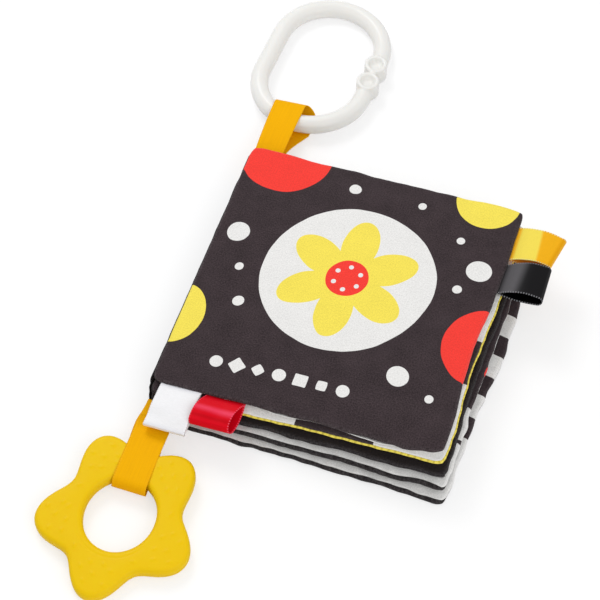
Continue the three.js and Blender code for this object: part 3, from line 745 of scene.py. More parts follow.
def leafPuckers(leaf, side, along, up):
    # Small folds that run in from the seam, square to it
    shape = puckerShape
    toX, toY = edgeDistances(leaf, along, up)
    low, left = up < leafSizes["height"] / 2, along < leaf["length"] / 2
    seed = 100 * leaf["n"] + (50 if side > 0 else 0)
    edges = ((toY, along, low, toX), (toY, along, ~low, toX), (toX, up, left, toY), (toX, up, ~left, toY))
    pucker = 0
    for k, (distance, run, here, other) in enumerate(edges):
        share = (distance + shape["start"]) / shape["reach"]
        window = share * np.exp(1 - share) * here * np.clip(other / shape["corner"], shape["least"], 1)
        field = lineRipples(seed + k, *shape["lengths"])(run + shape["lean"] * distance)
        pucker = pucker + (np.abs(field) - shape["dip"]) * shape["gain"] * window
    return pucker * leafWaves[leaf["name"]]["pucker"]


def leafSurface(leaf, side, along, up, inset):
    # Points of a panel's face, or of a layer that lies inset below it. The edge is rolled: from the seam the
    # cloth turns round the edge on to the flat of the leaf
    sizes, waves, n = leafSizes, leafWaves[leaf["name"]], leaf["n"]
    length, height, reach = leaf["length"], sizes["height"], sizes["cornerReach"]
    coverTop = n == firstLeaf and side > 0
    held = looseTop if coverTop else heldFace
    toX, toY = edgeDistances(leaf, along, up)
    x, y, lift = leafMiddle(leaf, along, up)
    roll = sizes["rollSpine"] + (sizes["rollFore"] - sizes["rollSpine"]) * along / length
    tiny = 1e-6
    run = ((toX + tiny) ** -4 + (toY + tiny) ** -4) ** -0.25
    wx = np.clip(1 - toX / reach, 0, 1) ** 2 * np.where(along < length / 2, -1, 1)
    wy = np.clip(1 - toY / reach, 0, 1) ** 2 * np.where(up < height / 2, -1, 1)
    size = np.hypot(wx, wy) + tiny
    outX, outY = wx / size, wy / size
    seamStart, seamEnd, seamFore = waves["seam"]
    endAngle = seamStart + (seamEnd - seamStart) * along / length
    seamAngle = np.radians(endAngle + (seamFore - endAngle) * np.clip(outX, 0, 1) ** 2)
    share = np.clip(run / roll, 0, 1)
    first = seamAngle + side * sizes["seamGap"] / roll
    angle = first + (side * pi / 2 - first) * share
    ripple = sizes["rollRipple"] * (1 if n else 0.5)
    puffed = roll * (1 + ripple * lineRipples(20 * n + 7, 7, 26)(along + up))
    arc = np.abs(angle - seamAngle) * roll
    radius = puffed - sizes["grooveDepth"] * np.exp(-(arc / sizes["grooveWidth"]) ** 2) - inset
    radius = np.maximum(radius, sizes["leastRadius"])
    shift = np.where(run < roll, radius * np.cos(angle) - roll + run, 0)
    pillow = np.sin(np.clip((toX - roll) / sizes["pillowRise"], 0, 1) * pi / 2)
    pillow = pillow * np.sin(np.clip((toY - roll) / sizes["pillowRise"], 0, 1) * pi / 2)
    full = restHalf + pitchGrowth / 2 * along / length
    if coverTop:
        full = full + sizes["crown"] * np.sin(pi * along / length) * np.sin(pi * up / height)
    if n == lastLeaf and side < 0:
        full = np.full_like(full, restHalf)
    swell = ripples(100 * n + (59 if side > 0 else 9), 26, 80)(along, up) * waves["swell"] * pillow
    flat = puffed + (full - roll) * pillow + leafPuckers(leaf, side, along, up) + swell * held["swell"]
    flat = np.maximum(np.minimum(flat, full + held["rise"]) - inset, sizes["leastRadius"])
    z = np.where(run < roll, radius * np.sin(angle) + (flat - radius) * side * share ** 2, side * flat)
    if n == firstLeaf and side < 0:
        fade = np.exp(-run / peekFade) * np.clip(-outY, 0, 1)
        for middle, half, far in liningPeeks:
            shift = shift + far * fade * np.exp(-((along - middle) / half) ** 4)
    x, y, z = x + outX * shift, y + outY * shift, z + lift
    if n == lastLeaf:
        z = np.maximum(z, -restHalf + sizes["floorGap"] + (inset if side < 0 else 0))
    return placeLeaf(leaf, np.stack([x, y, z], -1))


def addPanel(leaf, side, nodeName, material):
    along, up = gridPlaces(leaf, panelGrid)
    outer = leafSurface(leaf, side, along, up, 0)
    inner = leafSurface(leaf, side, along, up, leafSizes["cloth"])
    uv = np.stack([along, up], -1) / clothScale
    if side < 0:
        outer, inner, uv = outer[:, ::-1], inner[:, ::-1], uv[:, ::-1]
    points, faces = closedSheet(outer, inner)
    piece = addPiece(nodeName.replace("_panel", "_cloth"), points, faces, bothSides(uv), material)
    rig.ride(piece, leaf["name"])
    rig.replaces(piece, nodeName)
    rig.slot(piece, panelSlot[pageInks[nodeName]])
    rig.padded(piece, fill=0.35)


panelSlot = {
    "black": "black_cloth",
    "deepBlack": "black_cloth",
    "white": "white_cloth",
    "yellow": "yellow_cloth",
}


def layerBody(leaf, name, top, bottom, material):
    along, up = gridPlaces(leaf, layerGrid)
    points, faces = closedSheet(top(along, up), bottom(along, up))
    uvs = bothSides(np.stack([along, up], -1) / clothScale)
    piece = addPiece(name, points, faces, uvs, material)
    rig.ride(piece, leaf["name"])
    return piece


filling = {"film": 0.12, "clearance": 0.12, "crinkle": 0.05, "fluff": 0.12}


def addFilling(leaf, waddingMaterial, filmMaterial):
    cloth, gap, name = leafSizes["cloth"], filling["clearance"], leaf["name"]
    crinkle, fluff = ripples(700 + leaf["n"], 3, 9, 20), ripples(800 + leaf["n"], 4, 14, 20)
    filmTop = cloth + gap + filling["crinkle"] * 2
    below = filmTop + filling["film"] + gap + filling["fluff"]

    def layer(side, inset, field, size):
        return lambda along, up: leafSurface(leaf, side, along, up, inset + size * (1 + field(along, up) / 2))
    film = layerBody(leaf, name + "_film", layer(1, filmTop, crinkle, filling["crinkle"]),
                     layer(1, filmTop + filling["film"], crinkle, filling["crinkle"]), filmMaterial)
    wadding = layerBody(leaf, name + "_padding", layer(1, below, fluff, filling["fluff"]),
                        layer(-1, cloth + gap, fluff, filling["fluff"]), waddingMaterial)
    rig.replaces(film, name + "_crinkle_film")
    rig.slot(film, "crinkle_film")
    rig.replaces(wadding, name + "_wadding")
    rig.slot(wadding, "wadding")
    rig.padded(wadding, fill=0.5)
    margin = 2 * layerGrid["near"][0]
    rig.sheet(film, flat=((leaf["length"] - margin) * toMetres, (leafSizes["height"] - margin) * toMetres),
             held="laid", rests_on=[wadding])


# Prints on the panels: ink, middle, half size, turn in degrees, squareness
def petals(ink, middle, count, ring, half):
    rows = []
    for k in range(count):
        angle = 2 * pi * k / count + pi / 2
        at = (middle[0] + ring * math.cos(angle), middle[1] + ring * math.sin(angle))
        rows.append((ink, at, half, -math.degrees(angle)))
    return rows


coverMotif = (76, 83)
coverShapes = [
    ("red", (20, 150), (25, 24)),
    ("yellow", (131, 152), (17, 19)),
    ("red", (153, 62), (19, 23)),
    ("yellow", (-2, 42), (15, 18)),
    ("white", coverMotif, (45, 44)),
    *petals("yellow", coverMotif, 6, 21, (15.5, 9.5)),
    ("red", coverMotif, (11, 11)),
    *petals("white", coverMotif, 6, 7, (1.3, 1.3)),
    ("white", (62, 139), (3.2, 3.2)),
    ("white", (99, 138), (2.2, 2.2)),
    ("white", (12, 96), (6, 6)),
    ("white", (20, 76), (2.3, 2.3)),
    ("white", (138, 106), (6.5, 6.5)),
    ("white", (124, 122), (2.2, 2.2)),
    ("white", (131, 92), (2.4, 2.4)),
    ("white", (118, 34), (5.6, 5.6)),
    ("white", (27, 56), (3, 3)),
    ("white", (136, 26), (2.2, 2.2)),
    *[("white", (28 + 11 * k, 19), (3.4, 3.4), 45 * (k % 2), (2, 12, 1.2)[k % 3]) for k in range(7)],
]


def blocks(ink, places, half, turn=0):
    return [(ink, at, half, turn, 9) for at in places]


def dots(ink, first, step, counts, radius):
    return [(ink, (first[0] + step[0] * i, first[1] + step[1] * j), (radius, radius))
            for i in range(counts[0]) for j in range(counts[1])]


pageInks = {
    "front_cover_outer_panel": "black",
    "front_cover_lining_panel": "white",
    "page_1_upper_panel": "white",
    "page_1_lower_panel": "yellow",
    "page_2_upper_panel": "deepBlack",
    "page_2_lower_panel": "deepBlack",
    "page_3_upper_panel": "white",
    "page_3_lower_panel": "deepBlack",
    "back_cover_lining_panel": "white",
    "back_cover_outer_panel": "deepBlack",
}
spineStrip = ("deepBlack", (-2, 75), (9, 90), 0, 9)
pageShapes = {
    "front_cover_outer_panel": coverShapes,
    "front_cover_lining_panel": dots("black", (22, 24), (27, 34), (5, 4), 8),
    "page_1_upper_panel": [
        *blocks("black", [(14, 0), (95, 0)], (20, 9)),
        *blocks("black", [(149, 60)], (9, 13.2)),
        *blocks("black", [(40, 151), (100, 151)], (18, 9)),
        *blocks("black", [(0, 44), (0, 104)], (9, 13)),
        ("black", (75, 80), (36, 36)),
        ("white", (75, 80), (27, 27)),
        ("black", (75, 80), (17, 17)),
    ],
    "page_1_lower_panel": [
        spineStrip,
        *[("black", (24 + 34 * i, 26 + 33 * j + 10 * (i % 2)), (5, 5)) for i in range(4) for j in range(4)],
    ],
    "page_2_upper_panel": dots("white", (20, 22), (28, 27), (5, 5), 3.5),
    "page_2_lower_panel": [("white", (75, 22 + 22 * j), (56, 3.6), 0, 8) for j in range(6)],
    "page_3_upper_panel": [
        ("black", (143.2, 96), (9, 90), 0, 9),
        ("white", (150.5, 18), (5, 9.7)),
        ("white", (150.5, 39.5), (5, 9.7)),
        ("red", (154.6, 73), (3.2, 3.2), 0, 4),
        spineStrip,
        ("black", (62, 78), (34, 34)),
        ("yellow", (62, 78), (22, 22)),
    ],
    "page_3_lower_panel": [*petals("white", (75, 78), 8, 34, (16, 7)), ("red", (75, 78), (13, 13))],
    "back_cover_lining_panel": [
        *blocks("black", [(150, 45.5 + 25.9 * k) for k in range(5)], (12, 6.3), 3),
        spineStrip,
        *[("black", (20 + 24 * k, 78), (5, 44), 0, 7) for k in range(5)],
    ],
    "back_cover_outer_panel": [
        ("white", (75, 75), (40, 40)),
        ("black", (75, 75), (29, 29)),
        ("red", (75, 75), (17, 17)),
        ("white", (22, 22), (7, 7)),
        ("yellow", (128, 24), (10, 10)),
        ("red", (24, 128), (9, 9)),
        ("white", (128, 128), (6, 6)),
    ],
}


def fluffMaterial():
    material, tree, shader = newMaterial("paddingFluff")
    fibre = noise(tree, scaled(tree, objectPlace(tree), (1.0, 2.4, 1.0)), 700.0, 5.0, 0.75)
    setSockets(tree, shader, {
        "Base Color": mixColor(tree, fibre, linear("e4e4de"), linear("fbfbf8")),
        "Normal": bump(tree, fibre, 0.8, 0.4),
        "Roughness": 1.0,
        "Sheen Weight": 0.4,
    })
    return material


def filmMaterial():
    material, tree, shader = newMaterial("crinkleFilm")
    inputs = {"Vector": objectPlace(tree), "Scale": 260.0}
    creases = addNode(tree, "ShaderNodeTexVoronoi", inputs, feature="DISTANCE_TO_EDGE").outputs[0]
    sharp = between(tree, creases, 0.0, 0.12)
    setSockets(tree, shader, {
        "Base Color": mixColor(tree, sharp, linear("f4f7f9"), linear("d6dfe5")),
        "Roughness": between(tree, sharp, 0, 1, 0.32, 0.18, False),
        "Normal": bump(tree, sharp, 0.6, 0.15),
    })
    return material


def addLeaves():
    fluff, film = fluffMaterial(), filmMaterial()
    parts = {firstLeaf: ("outer", "lining"), lastLeaf: ("lining", "outer")}
    for n in range(len(leafNames)):
        leaf = leafAt(n)
        for side, part in zip((1, -1), parts.get(n, ("upper", "lower"))):
            nodeName = f"{leaf['name']}_{part}_panel"
            printed = clothMaterial(nodeName.replace("_panel", "Print"), pageInks[nodeName],
                                    pageShapes[nodeName], leaf["length"])
            addPanel(leaf, side, nodeName, printed)
        addFilling(leaf, fluff, film)
        print("leaf", leaf["name"], "made")


addLeaves()


# Spine: strips of cloth that bend between neighbouring leaves
spine = {
    "low": 0.8,
    "topDrop": 0.3,
    "gap": 0.3,
    "cloth": 0.5,
    "bulge": 0.5,
    "scallop": 0.3,
    "tuck": 0.9,
    "tuckBelow": 0.06,  # shares of the spine's height over which the cloth tucks in
    "tuckAbove": 0.1,
    "wave": 0.12,
    "shorter": 1.5,  # how far the corners' rounding may be covered
    "steps": 10,
    "columns": 61,
}


def addSpine():
    material = clothMaterial("spineCloth", "deepBlack", (), leafSizes["coverLength"])
    half = leafSizes["height"] / 2 + leafSizes["taper"] - leafSizes["cornerReach"] + spine["shorter"]
    leaves = [leafAt(n) for n in range(lastLeaf, firstLeaf - 1, -1)]
    levels = [leaf["origin"][2] for leaf in leaves]
    levels[0], levels[-1] = spine["low"], levels[-1] - spine["topDrop"]
    share = np.linspace(0, 1, spine["steps"] + 1)
    run = np.linspace(-1, 1, spine["columns"])[None, :]
    for k in range(lastLeaf):
        lower, upper = leaves[k], leaves[k + 1]
        z = levels[k] + (levels[k + 1] - levels[k]) * share
        level = (lastLeaf - k - share)[:, None]
        total = (k + share) / lastLeaf
        ends = np.clip(1 - total / spine["tuckBelow"], 0, 1)
        ends = ends + np.clip(1 - (1 - total) / spine["tuckAbove"], 0, 1)
        out = spine["gap"] + spine["bulge"] * np.sin(pi * total) + spine["scallop"] * np.sin(pi * share)
        wave = lineRipples(900 + k, 8, 30)(run * half) * spine["wave"] * np.sin(pi * share)[:, None]
        y = run * half - leafSizes["stepY"] * level
        faceRows = []
        for inward in (0, spine["cloth"]):
            x = leafSizes["stepX"] * level + leafSizes["fan"] * level * run * half
            x = x - (out + spine["cloth"] - inward - spine["tuck"] * ends ** 2)[:, None] - wave
            place = np.stack([x, np.broadcast_to(y, x.shape), np.broadcast_to(z[:, None], x.shape)], -1)
            faceRows.append(place[:, ::-1] + bookPlace)
        points, faces = closedSheet(*faceRows)
        uv = (faceRows[0][..., 2:0:-1] + [0, 90]) / clothScale
        piece = addPiece(f"spine_cloth_{k + 1}", points, faces, bothSides(uv), material)
        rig.replaces(piece, "spine_panel")
        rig.slot(piece, "black_cloth")
        at = [tuple((leaf["origin"] + bookPlace * [1, 0, 1] - leaf["origin"] * [0, 1, 0]) * toMetres)
              for leaf in (lower, upper)]
        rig.blend(piece, lower["name"], upper["name"], start=at[0], end=at[1])


addSpine()
print("spine made")


# Ribbons: a path of (run, height) points that is given a width and a thickness
def smoothPath(points, step):
    # Even points on a Catmull-Rom curve through the given ones
    p = np.asarray(points, float)
    ends = np.concatenate([[2 * p[0] - p[1]], p, [2 * p[-1] - p[-2]]])
    fine = []
    for i in range(1, len(ends) - 2):
        t = np.linspace(0, 1, 16, endpoint=False)[:, None]
        a, b, c, d = ends[i - 1:i + 3]
        curve = 2 * b + (c - a) * t + (2 * a - 5 * b + 4 * c - d) * t ** 2 + (3 * b - a - 3 * c + d) * t ** 3
        fine.append(0.5 * curve)
    fine = np.concatenate([*fine, [p[-1]]])
    lengths = np.concatenate([[0], np.cumsum(np.linalg.norm(np.diff(fine, axis=0), axis=1))])
    at = np.linspace(0, lengths[-1], max(3, int(lengths[-1] / step) + 1))
    return np.stack([np.interp(at, lengths, fine[:, i]) for i in range(fine.shape[1])], 1), at


def ribbonGrid(path, runs, width, thickness, across, place, wave=None):
    # path: (run, height) rows; place(run, aside, height, share) gives a point; aside is across the ribbon
    rows = []
    tangent = np.gradient(path, axis=0)
    tangent /= np.linalg.norm(tangent, axis=1)[:, None]
    normal = np.stack([-tangent[:, 1], tangent[:, 0]], 1)
    share = np.linspace(0, 1, across)
    aside = (share - 0.5) * width
    for offset in (thickness / 2, -thickness / 2):
        p = path + normal * offset
        run = np.repeat(p[:, :1], across, 1)
        height = np.repeat(p[:, 1:2], across, 1)
        if wave is not None:
            height = height + wave(runs[:, None], aside[None, :])
        rows.append(place(run, np.broadcast_to(aside, run.shape), height, runs[:, None] / runs[-1]))
    uv = np.stack(np.broadcast_arrays(runs[:, None], share[None, :] * width), -1) / ribbonScale
    return rows, uv


def addRibbon(names, points, split, width, thickness, place, material, step=0.6, across=25, wave=None):
    # One smooth ribbon. With three names it is cut where its run passes split, into an end, a loop and an end
    path, runs = smoothPath(points, step)
    rows, uv = ribbonGrid(path, runs, width, thickness, across, place, wave)
    rows, uv = [r[:, ::-1] for r in rows], uv[:, ::-1]
    cuts = [0, len(path) - 1]
    if split is not None:
        outside = np.flatnonzero(path[:, 0] > split)
        cuts = [0, outside[0], outside[-1], len(path) - 1]
    pieces = []
    for name, first, last in zip(names, cuts[:-1], cuts[1:]):
        here = slice(first, last + 1)
        corners, faces = closedSheet(*[r[here] for r in rows])
        piece = addPiece(name, corners, faces, bothSides(uv[here]), material)
        pieces.append((piece, float(runs[last] - runs[first])))
    return pieces


def arcPoints(middle, radius, start, end, count):
    angles = np.radians(np.linspace(start, end, count))
    return [(middle[0] + radius * math.cos(a), middle[1] + radius * math.sin(a)) for a in angles]


# Tags: side, place along it, reach, loop, skew and droop near the frame's. A loop's end is wider than its
# seam by the share flare and turned by turn, and its strands lie apart by slide
tagThickness = 0.4
# Where a tag is sewn in, low on the cover's rolled edge: its runs past the edge, how far its two strands lie
# above and below the drop there, and where it begins and ends to bend
tagSeam = {
    "drop": -0.6,
    "runs": (-3.4, -1.0, 0.7),
    "above": (0.2, 0.24, 0.5),
    "below": (0.2, 0.24, 0.35),
    "bend": (-0.4, 1.4),
}
tagRows = {
    "tag_white": {"side": "bottom", "along": 15.8, "length": 23.6, "loop": 2.4, "skew": -0.9, "droop": 10,
                  "width": 21.3, "dome": 0.5, "crease": 0.3, "flare": 0, "turn": 0, "slide": 0.2},
    "tag_red": {"side": "bottom", "along": 39.4, "length": 17, "loop": 6.2, "skew": -2.9, "droop": 3.6,
                "width": 20.4, "dome": 0.8, "crease": 0.22, "flare": 0, "turn": 0, "slide": -1.5},
    "tag_yellow": {"side": "fore", "along": 20.4, "length": 23, "loop": 4.2, "skew": -0.8, "droop": 4,
                   "width": 20.6, "dome": 1.3, "crease": 0.1, "flare": -0.1, "turn": -2, "slide": 0.2},
    "tag_black": {"side": "fore", "along": 43.9, "length": 22.4, "loop": 6.4, "skew": 2.6, "droop": 3,
                  "width": 18, "dome": 1.0, "crease": 0.1, "flare": 0.1, "turn": 0.5, "slide": 0.2},
}
# Satins: the painted light bands give a colour, where it starts and ends along the ribbon, its softness, slant and
# share
# Painted shade near the seam on the white and red tags and at the white tag's fold; painted highlights in pale yellow,
# grey on black and pink on red; painted shade in dark red, deeper orange and black towards the fold and on the lower
# strand
satinRows = {
    "tag_white": {"base": "fdfdff", "edge": "ffffff", "gloss": 0.2,
                  "bands": [("e8e8ef", -9, 4.8, 1.4, 0, 0.8), ("efeff5", 25.5, 28.5, 1.5, 0.05, 0.8)]},
    "tag_red": {"base": "e4061e", "edge": "ff6078", "gloss": 0.07,
                "bands": [("ae000e", -9, 5.4, 2.2, 0.03, 0.9), ("ff4a6c", 12.6, 15.2, 1.7, 0.05, 0.85),
                          ("c20010", 17.2, 18.8, 1.2, 0.03, 0.8)]},
    "tag_yellow": {"base": "fdb918", "edge": "fff6c0", "gloss": 0.1,
                   "bands": [("ffe95a", 5.2, 15.3, 0.9, -0.15, 0.95), ("eda200", 25.0, 26.8, 1.0, 0, 0.8),
                             ("ffa02c", 30.5, 99, 1.0, 0, 1.0)]},
    "tag_black": {"base": "161517", "edge": "98989c", "gloss": 0.07,
                  "bands": [("5c5a5d", 4.4, 14.2, 2.8, 0.06, 1.0), ("050506", 30.5, 99, 1.0, 0, 1.0)]},
}
satins = {name: satinMaterial(name + "Satin", row, tagRows[name]["width"]) for name, row in satinRows.items()}
orangeWeave = {"base": "fcb900", "deep": "f4b000", "edge": "fec030", "width": 17}
orangeRibbon = ribbonMaterial("orangeRibbon", orangeWeave)


def seamPlace(leaf, onFore, run):
    length, height = leaf["length"], leafSizes["height"]
    along, up = (length, height - run) if onFore else (run, 0.0)
    return np.array([float(v) for v in leafMiddle(leaf, np.array(along), np.array(up))])


def addTag(name, values):
    cover, width, length, seam = leafAt(firstLeaf), values["width"], values["length"], tagSeam
    onFore = values["side"] == "fore"
    half = width / 2
    start, end = (seamPlace(cover, onFore, values["along"] + d) for d in (-half, half))
    middle = (start + end) / 2
    turned = np.array([end[1] - start[1], start[0] - end[0], 0]) * (-1 if onFore else 1)
    outward = turned / np.linalg.norm(turned)
    upright = np.array([0, 0, 1])
    sideways = np.cross(outward, upright)
    radius = values["loop"] / 2 + tagThickness / 2
    reach = length - radius - tagThickness / 2
    drop, dome = seam["drop"], values["dome"]
    sewnTop = [(run, drop + offset) for run, offset in zip(seam["runs"], seam["above"])]
    sewnBottom = [(run, drop - offset) for run, offset in zip(seam["runs"], seam["below"])]
    top = [*sewnTop, (reach * 0.3, radius * 0.62 + dome * 0.6), (reach * 0.68, radius + dome)]
    bottom = [(reach * 0.6, -radius - dome * 0.2), (reach * 0.25, -radius * 0.72 - 0.2),
              *sewnBottom[::-1]]
    points = top + arcPoints((reach, 0), radius, 62, -75, 9) + bottom
    sag = math.radians(values["droop"])
    uneven = ripples(sum(map(ord, name)), 9, 30, 8)

    def place(run, aside, height, share):
        reached = np.clip(run, 0, None) / length
        run = run + values["turn"] * reached * aside / half
        apart = values["slide"] * np.sin(2 * pi * share) * np.sin(pi * share) ** 2
        aside = aside * (1 + values["flare"] * reached) - values["skew"] * reached - apart
        x = np.where(run > 0, run * math.cos(sag) + height * math.sin(sag), run)
        z = np.where(run > 0, height * math.cos(sag) - run * math.sin(sag), height)
        offset = x[..., None] * outward + aside[..., None] * sideways + z[..., None] * upright
        return placeLeaf(cover, middle + offset)

    def wave(run, aside):
        return uneven(run, aside) * values["crease"] * np.sin(pi * np.clip(run / (2 * length), 0, 1)) ** 2
    made = addRibbon([name + "_ribbon"], points, None, width, tagThickness, place, satins[name],
                     0.5, 29, wave)
    piece, cutLength = made[0]
    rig.replaces(piece, name)
    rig.slot(piece, name.replace("tag_", "") + "_satin")
    at = [tuple(placeLeaf(cover, middle + outward * d) * toMetres) for d in seam["bend"]]
    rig.blend(piece, "front_cover", name, start=at[0], end=at[1])
    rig.sheet(piece, flat=(width * toMetres, cutLength * toMetres), held="folded",
             rests_on=["front_cover_outer_cloth"])


for tagName, tagValues in tagRows.items():
    addTag(tagName, tagValues)
print("tags made")


# Link ring: an open racetrack of round bar with a cup at each end
linkRing = {
    "barRadius": 5.2,
    "halfWidth": 29.3,
    "straight": 27.9,
    "lean": math.radians(-2.5),
    "cupRadius": 6.3,
    "cupGap": 0.5,
    "cupHeight": 11.2,
    "socketRadius": 4,
    "socketDepth": 3,
    "socketFlare": 0.5,
    "socketNarrow": (0.3, 1.5),  # how much narrower it is at the foot of its wall and on its floor
    "socketCurve": 1.2,
    "cutterOver": 4,
    "cupRounding": 1.6,
    "cupOffset": 1.2,
    "ribbonCentre": 8.6,
    "aside": 4.9,
    "reach": 31.4,
    "holderHeight": 7.4,
    "ridge": 0.25,  # the bar's moulding line, top and bottom
    "ridgeSpread": 0.06,
    "lip": 0.8,
    "voxel": 0.5,
}


def ringLine(share):
    # Middle of the bar from one cup round to the other, in the ring's own plane
    r = linkRing
    cupReach = r["cupRadius"] + r["cupGap"] / 2
    arc, straight, corner = pi * r["halfWidth"], r["straight"], r["straight"] / 2
    first, last = corner + r["cupOffset"] - cupReach, corner - r["cupOffset"] - cupReach
    run = share * (first + arc + straight + arc + last)
    if run < first:
        return r["halfWidth"], -corner + first - run
    run -= first
    if run < arc:
        angle = -run / r["halfWidth"]
        return r["halfWidth"] * math.cos(angle), -corner + r["halfWidth"] * math.sin(angle)
    run -= arc
    if run < straight:
        return -r["halfWidth"], -corner + run
    run -= straight
    if run < arc:
        angle = pi - run / r["halfWidth"]
        return r["halfWidth"] * math.cos(angle), corner + r["halfWidth"] * math.sin(angle)
    return r["halfWidth"], corner - (run - arc)


def ringPlace():
    # Holder of the ring: the middle of the bar inside the ribbon, then the ring's slope and lean
    r = linkRing
    upX, upY = -r["straight"] / 2 * math.sin(r["lean"]), r["straight"] / 2 * math.cos(r["lean"])
    farEnd = 2 * (r["halfWidth"] + upY)
    x, y = r["ribbonCentre"] + r["aside"], leafSizes["height"] / 2 + r["reach"]
    slope = -math.asin((r["holderHeight"] - r["barRadius"]) / farEnd)
    return np.array([x, y, r["holderHeight"]]) + bookPlace, slope, np.array([upX, farEnd / 2, 0])


def placeRing(points):
    holder, slope, middle = ringPlace()
    c, s = math.cos(linkRing["lean"]), math.sin(linkRing["lean"])
    p = np.asarray(points, float)
    x = p[..., 0] * c - p[..., 1] * s + middle[0]
    y, z = p[..., 0] * s + p[..., 1] * c + middle[1], p[..., 2]
    cs, ss = math.cos(slope), math.sin(slope)
    return np.stack([x, y * cs - z * ss, y * ss + z * cs], -1) + holder


def lathe(profile, steps):
    rows = np.array(profile)
    angles = np.linspace(0, 2 * pi, steps, endpoint=False)
    points, rings = [], []
    for radius, height in rows:
        if radius < 1e-6:
            rings.append([len(points)] * steps)
            points.append((0, 0, height))
        else:
            rings.append(list(range(len(points), len(points) + steps)))
            points += [(radius * math.cos(a), radius * math.sin(a), height) for a in angles]
    faces = []
    for low, high in zip(rings[:-1], rings[1:]):
        for i in range(steps):
            j = (i + 1) % steps
            faces.append(list(dict.fromkeys([low[i], low[j], high[j], high[i]])))
    return np.array(points), faces


def applyModifier(piece, kind, **settings):
    modifier = piece.modifiers.new("shaping", kind)
    for key, value in settings.items():
        setattr(modifier, key, value)
    graph = bpy.context.evaluated_depsgraph_get()
    shaped = bpy.data.meshes.new_from_object(piece.evaluated_get(graph))
    piece.modifiers.clear()
    old = piece.data
    piece.data = shaped
    bpy.data.meshes.remove(old)


def plasticMaterial():
    material, tree, shader = newMaterial("ringPlastic")
    skin = useGroup(tree, mouldedGroup, Place=objectPlace(tree), Grain=1400.0)
    color = mixColor(tree, skin["Tone"], linear("eeede9"), linear("f3f2ef"))
    setSockets(tree, shader, {
        "Base Color": mixColor(tree, times(tree, skin["Scuff"], 0.12), color, linear("dcdad2")),
        "Roughness": between(tree, skin["Scuff"], 0, 1, 0.3, 0.46, False),
        "Normal": bump(tree, skin["Height"], 0.12, 0.05),
        "Specular IOR Level": 0.35,
        "Subsurface Weight": 0.25,
        "Subsurface Radius": (1.0, 0.9, 0.8),
        "Subsurface Scale": 0.003,
    })
    return material


def addBar(steps=220, sides=24):
    # Round bar with a faint moulding line, from one cup round to the other
    r = linkRing
    line = np.array([ringLine(s) for s in np.linspace(0, 1, steps)])
    tangent = np.gradient(line, axis=0)
    tangent /= np.linalg.norm(tangent, axis=1)[:, None]
    normal = np.stack([tangent[:, 1], -tangent[:, 0]], 1)
    angles = np.linspace(0, 2 * pi, sides, endpoint=False)
    ridge = r["ridge"] * np.exp(-((np.abs(np.sin(angles)) - 1) / r["ridgeSpread"]) ** 2)
    radius = r["barRadius"] - r["ridge"] + ridge
    points = [(*(line[i] + normal[i] * radius[j] * math.cos(a)), radius[j] * math.sin(a))
              for i in range(steps) for j, a in enumerate(angles)]
    at = np.arange(steps * sides).reshape(steps, sides)
    beside = np.roll(at, -1, 1)
    faces = np.stack([at[:-1], beside[:-1], beside[1:], at[1:]], -1).reshape(-1, 4).tolist()
    faces += [at[0, ::-1].tolist(), at[-1].tolist()]
    return addPiece("link_ring_body", points, faces)


def addCups():
    # A cup at each end of the bar, and the cutter that hollows its socket
    r, steps = linkRing, 40
    floor, lip, rounding, socket = -r["barRadius"], r["lip"], r["cupRounding"], r["socketRadius"]
    footNarrow, floorNarrow = r["socketNarrow"]
    mouth = socket + r["socketFlare"]
    top = floor + r["cupHeight"]
    bottom, over = top - r["socketDepth"], top + r["cutterOver"]
    bevel = arcPoints((r["cupRadius"] - rounding, floor + rounding), rounding, -90, 0, 6)
    rim = arcPoints((r["cupRadius"] - lip, top - lip), lip, 0, 90, 5)
    wall = [(mouth, top), (socket, top - r["socketFlare"]), (socket - footNarrow, bottom + r["socketCurve"]),
            (socket - floorNarrow, bottom)]
    cups, cutters = [], []
    for side in (-1, 1):
        place = np.array([r["halfWidth"], r["cupOffset"] + side * (r["cupRadius"] + r["cupGap"] / 2), 0])
        cup, cupFaces = lathe([(0, floor), *bevel, *rim, (0, top)], steps)
        cups.append(addPiece(f"cup{side}", cup + place, cupFaces))
        cut, cutFaces = lathe([(0, over), (mouth, over), *wall, (0, bottom)], steps)
        cutters.append(addPiece(f"cut{side}", cut + place, [face[::-1] for face in cutFaces]))
    return cups, cutters


def addLinkRing():
    bar = addBar()
    cups, cutters = addCups()
    for piece in [bar, *cups, *cutters]:
        body = bmesh.new()
        body.from_mesh(piece.data)
        bmesh.ops.recalc_face_normals(body, faces=body.faces)
        body.to_mesh(piece.data)
        body.free()
    for kind, tools in (("UNION", cups), ("DIFFERENCE", cutters)):
        for tool in tools:
            applyModifier(bar, "BOOLEAN", operation=kind, object=tool, solver="EXACT")
    for piece in cups + cutters:
        bpy.data.objects.remove(piece)
    applyModifier(bar, "REMESH", mode="VOXEL", voxel_size=linkRing["voxel"] * toMetres)
    applyModifier(bar, "SMOOTH", factor=0.5, iterations=4)
    co = np.zeros(len(bar.data.vertices) * 3)
    bar.data.vertices.foreach_get("co", co)
    placed = placeRing(co.reshape(-1, 3) / toMetres) * toMetres
    bar.data.vertices.foreach_set("co", placed.ravel())
    bar.data.shade_smooth()
    bar.data.materials.clear()
    bar.data.materials.append(plasticMaterial())
    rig.ride(bar, "link_ring")
    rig.replaces(bar, "link_ring")
    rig.slot(bar, "ring_plastic")


addLinkRing()
print("ring made")


